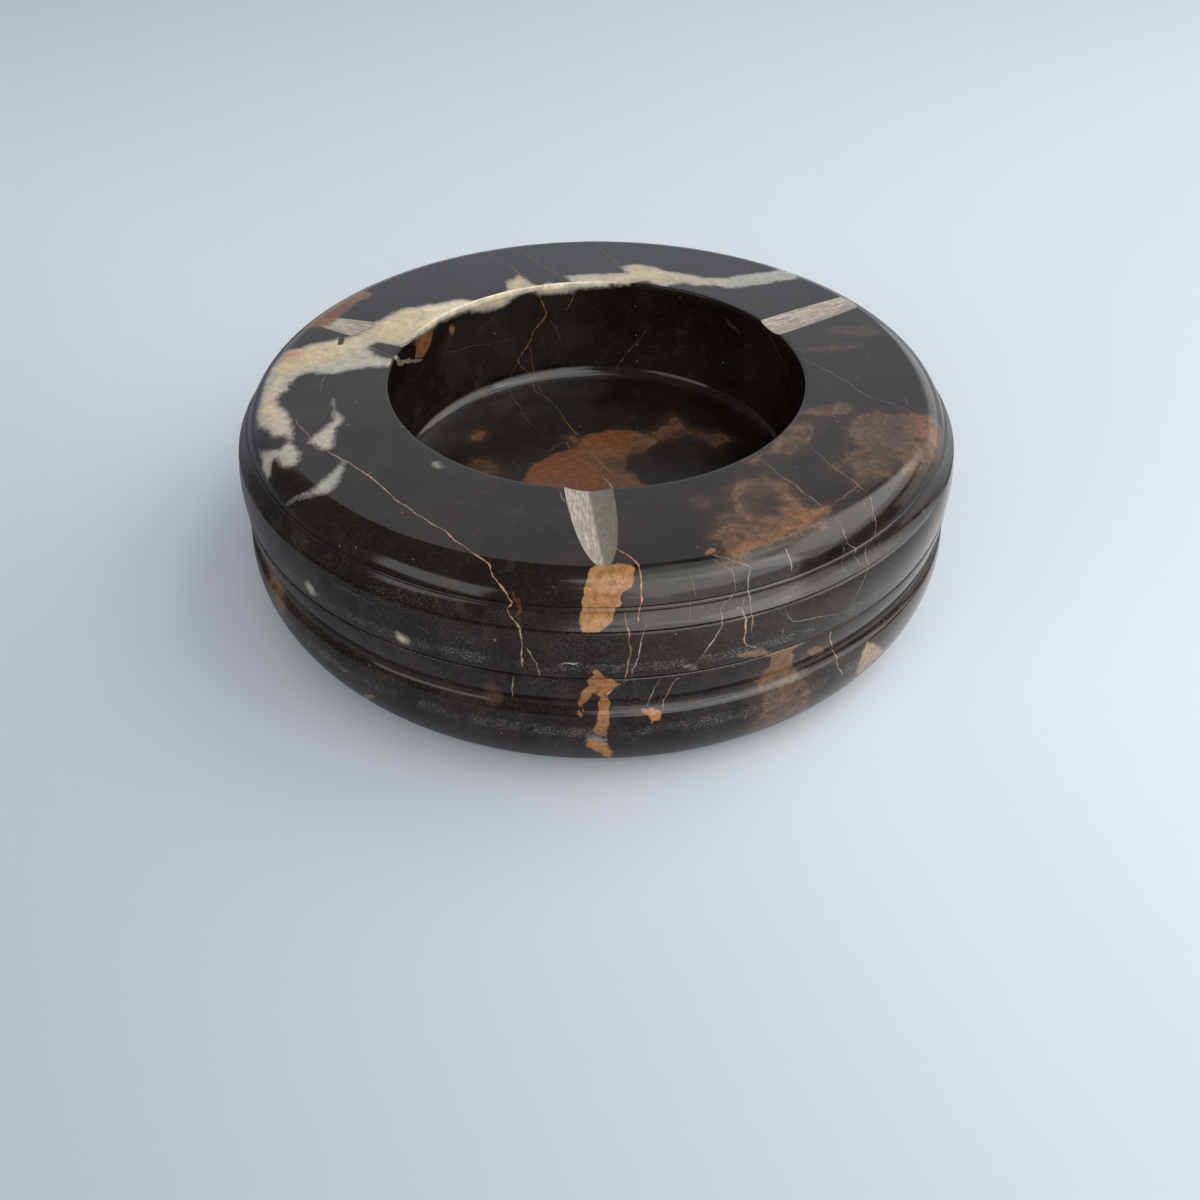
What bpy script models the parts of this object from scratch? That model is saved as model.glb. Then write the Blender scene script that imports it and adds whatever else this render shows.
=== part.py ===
"""A round ashtray turned from one block of dark veined marble.

The block has a flat ground top, an undercut bowl, a rounded shoulder with a fine
bead, three turned bands and a flat foot. Three shallow cigarette rests are ground
across the flat top. Metres, +Z up, origin in the middle of the foot.
"""

import math

import bmesh
import bpy

# Overall sizes
BODY_RADIUS = 0.0750
BODY_HEIGHT = 0.0460
OPENING_RADIUS = 0.0430
BOWL_DEPTH = 0.0255

# Bowl: an undercut wall that bows outwards between the lip and the floor
LIP_ARRIS = 0.0004
LIP_LAND = 0.0012
WALL_FOOT_UNDERCUT = 0.0019
WALL_BOW = 0.0014
FLOOR_FILLET = 0.0035
WALL_FOOT_HEADING = -80.0

# Shoulder: it leaves the flat top at a slight angle, so that a crisp ring shows there
SHOULDER_WIDTH = 0.0054
SHOULDER_DROP = 0.0044
SHOULDER_START = 10.0
SHOULDER_END = 68.0

# Bead under the shoulder, between two fine grooves
BEAD_SETBACK = 0.0036
BEAD_HEIGHT = 0.0010
BEAD_REACH = 0.0004
QUIRK_DEPTH = 0.0003
QUIRK_HEIGHT = 0.0003

# Upper cove: a narrow ledge that looks up and out, over the main band
UPPER_COVE_HEIGHT = 0.0021
UPPER_COVE_START = 62.0
UPPER_COVE_END = 36.0

# Main band
MAIN_BAND_SETBACK = 0.0013
MAIN_BAND_HEIGHT = 0.0093
MAIN_BAND_FLARE = 0.0008
MAIN_BAND_CROWN = 0.0004

# Middle groove, with rounded edges
GROOVE_DEPTH = 0.0007
GROOVE_HEIGHT = 0.0008
GROOVE_EDGE = 0.0003

# Second band, which draws in towards the lower cove
SECOND_BAND_SETBACK = 0.0005
SECOND_BAND_HEIGHT = 0.0058
SECOND_BAND_TAPER = 0.0009
SECOND_BAND_CROWN = 0.0003
LOWER_COVE_HEIGHT = 0.0020
LOWER_COVE_START = 100.0
LOWER_COVE_END = 42.0

# Foot band: it is widest at its rim and turns under to the flat foot
FOOT_RIM_SETBACK = 0.0003
FOOT_RIM_HEIGHT = 0.0030
FOOT_INSET = 0.0110
FOOT_TURN_END = 159.0

# Cigarette rests: shallow hollows of one round stone, deepest at the lip.
# A rest has its bearing at the lip and at the outer edge of the flat, in degrees.
REST_TOOL_RADIUS = 0.0117
FRONT_REST_DEPTH = 0.00085
FRONT_REST_END_DEPTH = 0.00003
RIGHT_REST_DEPTH = 0.00065
RIGHT_REST_END_DEPTH = 0.00038
LEFT_REST_DEPTH = 0.00078
LEFT_REST_END_DEPTH = 0.00010
FRONT_REST_BEARINGS = (-92.0, -89.0)
RIGHT_REST_BEARINGS = (27.0, 29.0)
LEFT_REST_BEARINGS = (160.0, 159.5)
CUT_OVERRUN = 0.0030

# How finely the round forms are faceted
TURNING_STEPS = 72
REST_STATIONS = 9
REST_SECTION_STEPS = 14
REST_SECTION_HALF_ANGLE = 38.0
SHARP_ANGLE = 24.0
MERGE_DISTANCE = 0.00001

# Radii and levels that follow from the sizes above
TOP = BODY_HEIGHT
FLAT_RADIUS = BODY_RADIUS - BEAD_SETBACK - SHOULDER_WIDTH
FLOOR_LEVEL = TOP - BOWL_DEPTH


def clear_scene():
    """Take every object out of the scene."""
    for item in list(bpy.data.objects):
        bpy.data.objects.remove(item, do_unlink=True)


def arc(start, end, heading_from, heading_to, steps):
    """Points of an arc from start to end, start left out.

    A heading is the way of travel in degrees: 0 runs outwards, 90 down, 180 inwards
    and -90 up. The arc turns evenly from one heading to the other, and is stretched
    along each axis to meet both ends.
    """
    side = 1.0 if heading_to > heading_from else -1.0

    def place(heading):
        angle = math.radians(heading)
        return side * math.sin(angle), side * math.cos(angle)

    first = place(heading_from)
    last = place(heading_to)
    points = []
    for step in range(1, steps + 1):
        here = place(heading_from + (heading_to - heading_from) * step / steps)
        share_r = (here[0] - first[0]) / (last[0] - first[0])
        share_z = (here[1] - first[1]) / (last[1] - first[1])
        radius = start[0] + (end[0] - start[0]) * share_r
        level = start[1] + (end[1] - start[1]) * share_z
        points.append((radius, level))
    return points


def bow(start, end, crown, steps):
    """Points from start to end, start left out, bowed outwards by crown midway."""
    points = []
    for step in range(1, steps + 1):
        share = step / steps
        radius = start[0] + (end[0] - start[0]) * share
        radius += crown * 4.0 * share * (1.0 - share)
        points.append((radius, start[1] + (end[1] - start[1]) * share))
    return points


def bowl_profile():
    """From the middle of the bowl's floor out and up to the edge of the flat top."""
    wall_foot = (OPENING_RADIUS + WALL_FOOT_UNDERCUT, FLOOR_LEVEL + FLOOR_FILLET)
    floor_edge = (wall_foot[0] - FLOOR_FILLET, FLOOR_LEVEL)
    land_foot = (OPENING_RADIUS, TOP - LIP_LAND)
    land_top = (OPENING_RADIUS, TOP - LIP_ARRIS)
    points = [(0.0, FLOOR_LEVEL), floor_edge]
    points += arc(floor_edge, wall_foot, 0.0, WALL_FOOT_HEADING, 4)
    points += bow(wall_foot, land_foot, WALL_BOW, 6)
    points.append(land_top)
    points += arc(land_top, (OPENING_RADIUS + LIP_ARRIS, TOP), -90.0, 0.0, 2)
    return points


def shoulder_profile():
    """The rounded shoulder, then the bead between its two fine grooves."""
    foot = (FLAT_RADIUS + SHOULDER_WIDTH, TOP - SHOULDER_DROP)
    bead_top = (foot[0] - QUIRK_DEPTH, foot[1] - QUIRK_HEIGHT)
    bead_foot = (foot[0], bead_top[1] - BEAD_HEIGHT)
    points = [(FLAT_RADIUS, TOP)]
    points += arc(points[0], foot, SHOULDER_START, SHOULDER_END, 7)
    points.append(bead_top)
    points += bow(bead_top, bead_foot, BEAD_REACH, 3)
    return points


def main_band_profile(top):
    """The upper cove, a fine groove and the main band, down to its lower edge."""
    cove_lip = (BODY_RADIUS - MAIN_BAND_SETBACK, top[1] - UPPER_COVE_HEIGHT)
    quirk = (cove_lip[0] - QUIRK_DEPTH, cove_lip[1] - QUIRK_HEIGHT)
    band_top = (cove_lip[0] + QUIRK_DEPTH, quirk[1] - QUIRK_HEIGHT)
    band_foot = (cove_lip[0] + MAIN_BAND_FLARE, band_top[1] - MAIN_BAND_HEIGHT + GROOVE_EDGE)
    points = arc(top, cove_lip, UPPER_COVE_START, UPPER_COVE_END, 4)
    points += [quirk, band_top]
    points += bow(band_top, band_foot, MAIN_BAND_CROWN, 6)
    return points


def second_band_profile(top):
    """The middle groove, the second band and the lower cove, down to its lip."""
    groove = (top[0] - GROOVE_DEPTH, top[1] - GROOVE_HEIGHT / 2)
    band_edge = (BODY_RADIUS - SECOND_BAND_SETBACK, groove[1] - GROOVE_HEIGHT / 2)
    band_foot = (band_edge[0] - SECOND_BAND_TAPER, band_edge[1] - SECOND_BAND_HEIGHT)
    cove_lip = (BODY_RADIUS - FOOT_RIM_SETBACK, band_foot[1] - LOWER_COVE_HEIGHT)
    points = [(top[0] - GROOVE_EDGE, top[1] - GROOVE_EDGE), groove]
    points += [(band_edge[0] - GROOVE_EDGE, band_edge[1] + GROOVE_EDGE), band_edge]
    points += bow(band_edge, band_foot, SECOND_BAND_CROWN, 5)
    points += arc(band_foot, cove_lip, LOWER_COVE_START, LOWER_COVE_END, 4)
    return points


def foot_profile(top):
    """A fine groove, then the foot band, which turns under to the flat foot."""
    quirk = (top[0] - QUIRK_DEPTH, top[1] - QUIRK_HEIGHT)
    rim_top = (top[0], quirk[1] - QUIRK_HEIGHT)
    rim = (BODY_RADIUS, rim_top[1] - FOOT_RIM_HEIGHT)
    foot_edge = (BODY_RADIUS - FOOT_INSET, 0.0)
    points = [quirk, rim_top]
    points += arc(rim_top, rim, 76.0, 90.0, 2)
    points += arc(rim, foot_edge, 90.0, FOOT_TURN_END, 10)
    points.append((0.0, 0.0))
    return points


def body_profile():
    """The whole turned outline, from the bowl's floor over the top to the foot."""
    points = bowl_profile() + shoulder_profile()
    points += main_band_profile(points[-1])
    points += second_band_profile(points[-1])
    points += foot_profile(points[-1])
    return points


def marble_material():
    """Dark brown-black polished stone."""
    material = bpy.data.materials.new("polished_marble")
    material.use_nodes = True
    shader = material.node_tree.nodes["Principled BSDF"]
    shader.inputs["Base Color"].default_value = (0.016, 0.011, 0.009, 1.0)
    shader.inputs["Roughness"].default_value = 0.12
    shader.inputs["Metallic"].default_value = 0.0
    return material


def turned_body():
    """Turn the outline about the Z axis with a Screw modifier."""
    mesh = bpy.data.meshes.new("marble_body")
    outline = [(radius, 0.0, level) for radius, level in body_profile()]
    edges = [(index, index + 1) for index in range(len(outline) - 1)]
    mesh.from_pydata(outline, edges, [])
    body = bpy.data.objects.new("marble_body", mesh)
    bpy.context.collection.objects.link(body)
    turning = body.modifiers.new("turning", "SCREW")
    turning.axis = "Z"
    turning.angle = math.tau
    turning.steps = TURNING_STEPS
    turning.render_steps = TURNING_STEPS
    turning.use_merge_vertices = True
    turning.merge_threshold = MERGE_DISTANCE
    turning.use_smooth_shade = True
    body.data.materials.append(marble_material())
    return body


def polar(radius, bearing):
    """The place at this radius and bearing, seen from above."""
    angle = math.radians(bearing)
    return radius * math.cos(angle), radius * math.sin(angle)


def rest_section(height):
    """Across a rest: the round underside of the tool, closed above the flat top.

    Points are offsets sideways and up from the lowest point of the hollow.
    """
    points = []
    for step in range(REST_SECTION_STEPS + 1):
        share = 2.0 * step / REST_SECTION_STEPS - 1.0
        angle = math.radians(REST_SECTION_HALF_ANGLE * share)
        points.append((REST_TOOL_RADIUS * math.sin(angle), REST_TOOL_RADIUS * (1.0 - math.cos(angle))))
    points.append((points[-1][0], height))
    points.append((points[0][0], height))
    return points


def rest_cutter(name, bearings, depth, end_depth):
    """The solid that grinds one rest: a round tool drawn outwards as it lifts."""
    inner = polar(OPENING_RADIUS, bearings[0])
    outer = polar(FLAT_RADIUS, bearings[1])
    length = math.hypot(outer[0] - inner[0], outer[1] - inner[1])
    along = ((outer[0] - inner[0]) / length, (outer[1] - inner[1]) / length)
    section = rest_section(REST_TOOL_RADIUS)
    shape = bmesh.new()
    rings = []
    for station in range(REST_STATIONS + 1):
        travel = -CUT_OVERRUN + (length + 2.0 * CUT_OVERRUN) * station / REST_STATIONS
        lift = (depth - end_depth) * (max(travel, 0.0) / length) ** 2
        ring = []
        for aside, up in section:
            x = inner[0] + along[0] * travel - along[1] * aside
            y = inner[1] + along[1] * travel + along[0] * aside
            ring.append(shape.verts.new((x, y, TOP - depth + lift + up)))
        rings.append(ring)
    count = len(section)
    for near, far in zip(rings, rings[1:]):
        for index in range(count):
            following = (index + 1) % count
            shape.faces.new((near[index], near[following], far[following], far[index]))
    shape.faces.new(rings[0])
    shape.faces.new(rings[-1])
    bmesh.ops.recalc_face_normals(shape, faces=shape.faces)
    mesh = bpy.data.meshes.new(name)
    shape.to_mesh(mesh)
    shape.free()
    cutter = bpy.data.objects.new(name, mesh)
    bpy.context.collection.objects.link(cutter)
    cutter.hide_render = True
    cutter.display_type = "WIRE"
    return cutter


def cut_rest(body, cutter):
    """Take the cutter's solid out of the body."""
    cut = body.modifiers.new(cutter.name, "BOOLEAN")
    cut.operation = "DIFFERENCE"
    cut.solver = "EXACT"
    cut.object = cutter


def shade_body(body):
    """Smooth shading with crisp edges, as the last step of the body's modifiers."""
    bpy.context.view_layer.update()
    graph = bpy.context.evaluated_depsgraph_get()
    mesh = bpy.data.meshes.new_from_object(body.evaluated_get(graph), depsgraph=graph)
    mesh.name = "marble_body"
    mesh.shade_smooth()
    mesh.set_sharp_from_angle(angle=math.radians(SHARP_ANGLE))
    body.modifiers.clear()
    body.data = mesh


def build():
    """Make the whole part: one turned block with its three rests."""
    clear_scene()
    body = turned_body()
    rests = (
        ("front_rest_cut", FRONT_REST_BEARINGS, FRONT_REST_DEPTH, FRONT_REST_END_DEPTH),
        ("right_rest_cut", RIGHT_REST_BEARINGS, RIGHT_REST_DEPTH, RIGHT_REST_END_DEPTH),
        ("left_rest_cut", LEFT_REST_BEARINGS, LEFT_REST_DEPTH, LEFT_REST_END_DEPTH),
    )
    for name, bearings, depth, end_depth in rests:
        cut_rest(body, rest_cutter(name, bearings, depth, end_depth))
    shade_body(body)


build()
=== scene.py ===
import math

import bmesh
import bpy
import numpy as np
from mathutils import Color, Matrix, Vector


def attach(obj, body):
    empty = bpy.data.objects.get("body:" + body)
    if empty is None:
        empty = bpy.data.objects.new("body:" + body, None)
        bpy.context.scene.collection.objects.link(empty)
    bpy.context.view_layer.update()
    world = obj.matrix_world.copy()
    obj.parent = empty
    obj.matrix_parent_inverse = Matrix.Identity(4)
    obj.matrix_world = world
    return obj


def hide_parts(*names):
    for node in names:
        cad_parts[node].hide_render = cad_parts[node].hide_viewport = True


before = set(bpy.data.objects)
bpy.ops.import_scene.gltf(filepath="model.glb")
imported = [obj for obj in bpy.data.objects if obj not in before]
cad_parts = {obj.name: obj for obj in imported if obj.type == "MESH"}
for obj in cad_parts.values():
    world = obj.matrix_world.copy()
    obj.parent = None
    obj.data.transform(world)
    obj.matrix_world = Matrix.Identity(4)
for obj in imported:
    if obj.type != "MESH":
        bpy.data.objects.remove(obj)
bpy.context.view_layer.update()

MM = 0.001

# Overall sizes of the turned block, in metres as everywhere but on the stone map
BODY_RADIUS = 0.0750
BODY_HEIGHT = 0.0460
OPENING_RADIUS = 0.0430
BOWL_DEPTH = 0.0255

# Bowl
LIP_ARRIS = 0.0004
LIP_LAND = 0.0012
WALL_FOOT_UNDERCUT = 0.0019
WALL_BOW = 0.0014
FLOOR_FILLET = 0.0035
WALL_FOOT_HEADING = -80.0

# Shoulder and bead
SHOULDER_WIDTH = 0.0054
SHOULDER_DROP = 0.0044
SHOULDER_START = 10.0
SHOULDER_END = 68.0
BEAD_SETBACK = 0.0036
BEAD_HEIGHT = 0.0010
BEAD_REACH = 0.0004
QUIRK_DEPTH = 0.0003
QUIRK_HEIGHT = 0.0003

# Upper cove and main band
UPPER_COVE_HEIGHT = 0.0021
UPPER_COVE_START = 62.0
UPPER_COVE_END = 36.0
MAIN_BAND_SETBACK = 0.0013
MAIN_BAND_HEIGHT = 0.0093
MAIN_BAND_FLARE = 0.0008
MAIN_BAND_CROWN = 0.0004

# Middle groove, second band and lower cove
GROOVE_DEPTH = 0.0007
GROOVE_HEIGHT = 0.0008
GROOVE_EDGE = 0.0003
GROOVE_TOP_EDGE = (90.0, 150.0)
GROOVE_FOOT_EDGE = (30.0, 90.0)
SECOND_BAND_SETBACK = 0.0005
SECOND_BAND_HEIGHT = 0.0058
SECOND_BAND_TAPER = 0.0009
SECOND_BAND_CROWN = 0.0003
LOWER_COVE_HEIGHT = 0.0020
LOWER_COVE_START = 100.0
LOWER_COVE_END = 42.0

# Foot band
FOOT_RIM_SETBACK = 0.0003
FOOT_RIM_HEIGHT = 0.0030
FOOT_INSET = 0.0110
FOOT_RIM_START = 76.0
FOOT_TURN_END = 159.0

# Cigarette rests: bearing at the lip and at the flat's edge, depth at both ends
REST_TOOL_RADIUS = 0.0117
RESTS = {
    "front": ((-92.0, -89.0), 0.00085, 0.00003),
    "right": ((27.0, 29.0), 0.00065, 0.00038),
    "left": ((160.0, 159.5), 0.00078, 0.00010),
}
CUT_OVERRUN = 0.0030

TOP = BODY_HEIGHT
FLAT_RADIUS = BODY_RADIUS - BEAD_SETBACK - SHOULDER_WIDTH
FLOOR_LEVEL = TOP - BOWL_DEPTH

# How finely the body is turned, and each stretch of its outline drawn
TURNING_STEPS = 576
FLOOR_STEPS = 24
FILLET_STEPS = 8
WALL_STEPS = 18
ARRIS_STEPS = 3
FLAT_STEPS = 32
SHOULDER_STEPS = 11
BEAD_STEPS = 6
UPPER_COVE_STEPS = 5
MAIN_BAND_STEPS = 12
SECOND_BAND_STEPS = 8
LOWER_COVE_STEPS = 6
FOOT_RIM_STEPS = 4
FOOT_TURN_STEPS = 16
UNDERSIDE_STEPS = 3
REST_STATIONS = 24
REST_SECTION_STEPS = 36
REST_SECTION_HALF_ANGLE = 38.0
MERGE_DISTANCE = 0.000001

# Headings of the outline, in degrees
OUTWARDS = 0.0
DOWN = 90.0
UP = -90.0


class Outline:
    """The turned outline as points (radius, level), with the corners that stay crisp."""

    def __init__(self, start):
        self.points = [start]
        self.corners = []

    @property
    def end(self):
        """The point reached so far."""
        return self.points[-1]

    def corner(self):
        """Keep the place reached so far as a crisp edge."""
        self.corners.append(self.end)

    def run(self, end, steps=1):
        """A straight stretch to end."""
        start = self.end
        for step in range(1, steps + 1):
            share = step / steps
            self.points.append(tuple(a + (b - a) * share for a, b in zip(start, end)))

    def bow(self, end, crown, steps):
        """A stretch to end, bowed outwards by crown midway."""
        start = self.end
        for step in range(1, steps + 1):
            share = step / steps
            radius = start[0] + (end[0] - start[0]) * share + crown * 4.0 * share * (1.0 - share)
            self.points.append((radius, start[1] + (end[1] - start[1]) * share))

    def arc(self, end, heading_from, heading_to, steps):
        """An arc to end. Heading 0 runs outwards, 90 down, 180 inwards and -90 up."""
        start = self.end
        side = 1.0 if heading_to > heading_from else -1.0

        def place(heading):
            """Where a heading is on the unit arc."""
            angle = math.radians(heading)
            return side * math.sin(angle), side * math.cos(angle)

        first = place(heading_from)
        last = place(heading_to)
        for step in range(1, steps + 1):
            here = place(heading_from + (heading_to - heading_from) * step / steps)
            share_r = (here[0] - first[0]) / (last[0] - first[0])
            share_z = (here[1] - first[1]) / (last[1] - first[1])
            radius = start[0] + (end[0] - start[0]) * share_r
            self.points.append((radius, start[1] + (end[1] - start[1]) * share_z))


def bowl_outline():
    """From the middle of the bowl's floor out and up to the inner edge of the flat top."""
    wall_foot = (OPENING_RADIUS + WALL_FOOT_UNDERCUT, FLOOR_LEVEL + FLOOR_FILLET)
    outline = Outline((0.0, FLOOR_LEVEL))
    outline.run((wall_foot[0] - FLOOR_FILLET, FLOOR_LEVEL), FLOOR_STEPS)
    outline.arc(wall_foot, OUTWARDS, WALL_FOOT_HEADING, FILLET_STEPS)
    outline.bow((OPENING_RADIUS, TOP - LIP_LAND), WALL_BOW, WALL_STEPS)
    outline.corner()
    outline.run((OPENING_RADIUS, TOP - LIP_ARRIS))
    outline.arc((OPENING_RADIUS + LIP_ARRIS, TOP), UP, OUTWARDS, ARRIS_STEPS)
    return outline


def add_shoulder(outline):
    """The flat top, the rounded shoulder and the bead between its two fine grooves."""
    outline.run((FLAT_RADIUS, TOP), FLAT_STEPS)
    outline.corner()
    foot = (FLAT_RADIUS + SHOULDER_WIDTH, TOP - SHOULDER_DROP)
    outline.arc(foot, SHOULDER_START, SHOULDER_END, SHOULDER_STEPS)
    outline.corner()
    outline.run((foot[0] - QUIRK_DEPTH, foot[1] - QUIRK_HEIGHT))
    outline.corner()
    outline.bow((foot[0], outline.end[1] - BEAD_HEIGHT), BEAD_REACH, BEAD_STEPS)
    outline.corner()


def add_main_band(outline):
    """The upper cove, a fine groove and the main band."""
    cove_lip = (BODY_RADIUS - MAIN_BAND_SETBACK, outline.end[1] - UPPER_COVE_HEIGHT)
    outline.arc(cove_lip, UPPER_COVE_START, UPPER_COVE_END, UPPER_COVE_STEPS)
    outline.corner()
    outline.run((cove_lip[0] - QUIRK_DEPTH, outline.end[1] - QUIRK_HEIGHT))
    outline.corner()
    outline.run((cove_lip[0] + QUIRK_DEPTH, outline.end[1] - QUIRK_HEIGHT))
    outline.corner()
    band_foot = (cove_lip[0] + MAIN_BAND_FLARE, outline.end[1] - (MAIN_BAND_HEIGHT - GROOVE_EDGE))
    outline.bow(band_foot, MAIN_BAND_CROWN, MAIN_BAND_STEPS)


def add_second_band(outline):
    """The middle groove with its rounded edges, the second band and the lower cove."""
    top = outline.end
    groove = (top[0] - GROOVE_DEPTH, top[1] - GROOVE_HEIGHT / 2)
    edge = (BODY_RADIUS - SECOND_BAND_SETBACK, groove[1] - GROOVE_HEIGHT / 2)
    outline.arc((top[0] - GROOVE_EDGE, top[1] - GROOVE_EDGE), *GROOVE_TOP_EDGE, ARRIS_STEPS)
    outline.run(groove)
    outline.corner()
    outline.run((edge[0] - GROOVE_EDGE, edge[1] + GROOVE_EDGE))
    outline.arc(edge, *GROOVE_FOOT_EDGE, ARRIS_STEPS)
    band_foot = (edge[0] - SECOND_BAND_TAPER, edge[1] - SECOND_BAND_HEIGHT)
    outline.bow(band_foot, SECOND_BAND_CROWN, SECOND_BAND_STEPS)
    cove_lip = (BODY_RADIUS - FOOT_RIM_SETBACK, band_foot[1] - LOWER_COVE_HEIGHT)
    outline.arc(cove_lip, LOWER_COVE_START, LOWER_COVE_END, LOWER_COVE_STEPS)
    outline.corner()


def add_foot(outline):
    """A fine groove, then the foot band, which turns under to the flat foot."""
    top = outline.end
    outline.run((top[0] - QUIRK_DEPTH, top[1] - QUIRK_HEIGHT))
    outline.corner()
    outline.run((top[0], outline.end[1] - QUIRK_HEIGHT))
    outline.corner()
    outline.arc((BODY_RADIUS, outline.end[1] - FOOT_RIM_HEIGHT), FOOT_RIM_START, DOWN,
                FOOT_RIM_STEPS)
    outline.arc((BODY_RADIUS - FOOT_INSET, 0.0), DOWN, FOOT_TURN_END, FOOT_TURN_STEPS)
    outline.corner()
    outline.run((0.0, 0.0), UNDERSIDE_STEPS)


def body_outline():
    """The whole turned outline, from the bowl's floor over the top to the foot."""
    outline = bowl_outline()
    add_shoulder(outline)
    add_main_band(outline)
    add_second_band(outline)
    add_foot(outline)
    return outline


def turning_tree():
    """Geometry nodes that turn an outline about the Z axis into one closed block."""
    tree = bpy.data.node_groups.new("turned_block", "GeometryNodeTree")
    for name, kind in (("Outline", "Geometry"), ("Turning radius", "Float"),
                       ("Steps round", "Int"), ("Merge distance", "Float"), ("Stone", "Material")):
        tree.interface.new_socket(name, in_out="INPUT", socket_type=f"NodeSocket{kind}")
    tree.interface.new_socket("Block", in_out="OUTPUT", socket_type="NodeSocketGeometry")
    given = tree.nodes.new("NodeGroupInput").outputs
    result = tree.nodes.new("NodeGroupOutput").inputs
    circle = tree.nodes.new("GeometryNodeCurvePrimitiveCircle")
    curve = tree.nodes.new("GeometryNodeMeshToCurve")
    inset = tree.nodes.new("ShaderNodeMath")
    inset.operation = "MULTIPLY"
    inset.inputs[1].default_value = -1.0
    across = tree.nodes.new("ShaderNodeCombineXYZ")
    shift = tree.nodes.new("GeometryNodeTransform")
    sweep = tree.nodes.new("GeometryNodeCurveToMesh")
    merge = tree.nodes.new("GeometryNodeMergeByDistance")
    smooth = tree.nodes.new("GeometryNodeSetShadeSmooth")
    real = tree.nodes.new("GeometryNodeRealizeInstances")
    paint = tree.nodes.new("GeometryNodeSetMaterial")
    for source, target in (
        (given["Steps round"], circle.inputs["Resolution"]),
        (given["Turning radius"], circle.inputs["Radius"]),
        (given["Outline"], curve.inputs["Mesh"]),
        (given["Turning radius"], inset.inputs[0]),
        (inset.outputs[0], across.inputs["X"]),
        (curve.outputs["Curve"], shift.inputs["Geometry"]),
        (across.outputs[0], shift.inputs["Translation"]),
        (circle.outputs["Curve"], sweep.inputs["Curve"]),
        (shift.outputs["Geometry"], sweep.inputs["Profile Curve"]),
        (sweep.outputs["Mesh"], merge.inputs["Geometry"]),
        (given["Merge distance"], merge.inputs["Distance"]),
        (merge.outputs["Geometry"], smooth.inputs["Geometry"]),
        (smooth.outputs["Geometry"], real.inputs["Geometry"]),
        (real.outputs["Geometry"], paint.inputs["Geometry"]),
        (given["Stone"], paint.inputs["Material"]),
        (paint.outputs["Geometry"], result["Block"]),
    ):
        tree.links.new(source, target)
    return tree


def turned_block(stone):
    """The block before its rests are ground, as a plain mesh."""
    outline = body_outline()
    shape = bpy.data.meshes.new("outline")
    places = [(radius, -level, 0.0) for radius, level in outline.points]
    shape.from_pydata(places, [(index, index + 1) for index in range(len(places) - 1)], [])
    block = bpy.data.objects.new("marble_block", shape)
    bpy.context.collection.objects.link(block)
    tree = turning_tree()
    turning = block.modifiers.new("turning", "NODES")
    turning.node_group = tree
    given = {
        "Turning radius": OPENING_RADIUS,
        "Steps round": TURNING_STEPS,
        "Merge distance": MERGE_DISTANCE,
        "Stone": stone,
    }
    for socket in tree.interface.items_tree:
        if socket.name in given:
            turning[socket.identifier] = given[socket.name]
    mesh = plain_mesh(block)
    block.modifiers.clear()
    block.data = mesh
    return block


def plain_mesh(item):
    """The object as its modifiers leave it, as a mesh of its own."""
    bpy.context.view_layer.update()
    graph = bpy.context.evaluated_depsgraph_get()
    return bpy.data.meshes.new_from_object(item.evaluated_get(graph), depsgraph=graph)


def rest_axis(rest):
    """Where a rest starts at the lip, its direction outwards and its length on the flat."""
    at_lip, at_edge = (math.radians(bearing) for bearing in RESTS[rest][0])
    inner = Vector((math.cos(at_lip), math.sin(at_lip))) * OPENING_RADIUS
    outer = Vector((math.cos(at_edge), math.sin(at_edge))) * FLAT_RADIUS
    length = (outer - inner).length
    return inner, (outer - inner) / length, length


def add_rest_stone(shape, rest):
    """The round grindstone of one rest, drawn outwards from the lip as it lifts."""
    inner, along, length = rest_axis(rest)
    depth, end_depth = RESTS[rest][1:]
    rings = []
    for station in range(REST_STATIONS + 1):
        travel = -CUT_OVERRUN + (length + 2.0 * CUT_OVERRUN) * station / REST_STATIONS
        bottom = TOP - depth + (depth - end_depth) * (max(travel, 0.0) / length) ** 2
        ring = []
        for step in range(REST_SECTION_STEPS + 1):
            share = 2.0 * step / REST_SECTION_STEPS - 1.0
            angle = math.radians(REST_SECTION_HALF_ANGLE * share)
            aside = REST_TOOL_RADIUS * math.sin(angle)
            place = inner + along * travel + Vector((-along.y, along.x)) * aside
            level = bottom + REST_TOOL_RADIUS * (1.0 - math.cos(angle))
            ring.append(shape.verts.new((place.x, place.y, level)))
        for vertex in (ring[-1], ring[0]):
            ring.append(shape.verts.new((vertex.co.x, vertex.co.y, bottom + REST_TOOL_RADIUS)))
        rings.append(ring)
    for near, far in zip(rings, rings[1:]):
        for index in range(len(near)):
            following = (index + 1) % len(near)
            shape.faces.new((near[index], near[following], far[following], far[index]))
    shape.faces.new(rings[0])
    shape.faces.new(rings[-1])


def grind_rests(block, ground):
    """Take the three rests out of the flat top; their faces get the ground finish."""
    shape = bmesh.new()
    for rest in RESTS:
        add_rest_stone(shape, rest)
    bmesh.ops.recalc_face_normals(shape, faces=shape.faces)
    mesh = bpy.data.meshes.new("rest_stones")
    shape.to_mesh(mesh)
    shape.free()
    mesh.materials.append(ground)
    stones = bpy.data.objects.new("rest_stones", mesh)
    bpy.context.collection.objects.link(stones)
    cut = block.modifiers.new("rests", "BOOLEAN")
    cut.operation = "DIFFERENCE"
    cut.solver = "EXACT"
    cut.material_mode = "TRANSFER"
    cut.object = stones
    cut_mesh = plain_mesh(block)
    block.modifiers.clear()
    block.data = cut_mesh
    bpy.data.objects.remove(stones, do_unlink=True)


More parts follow.
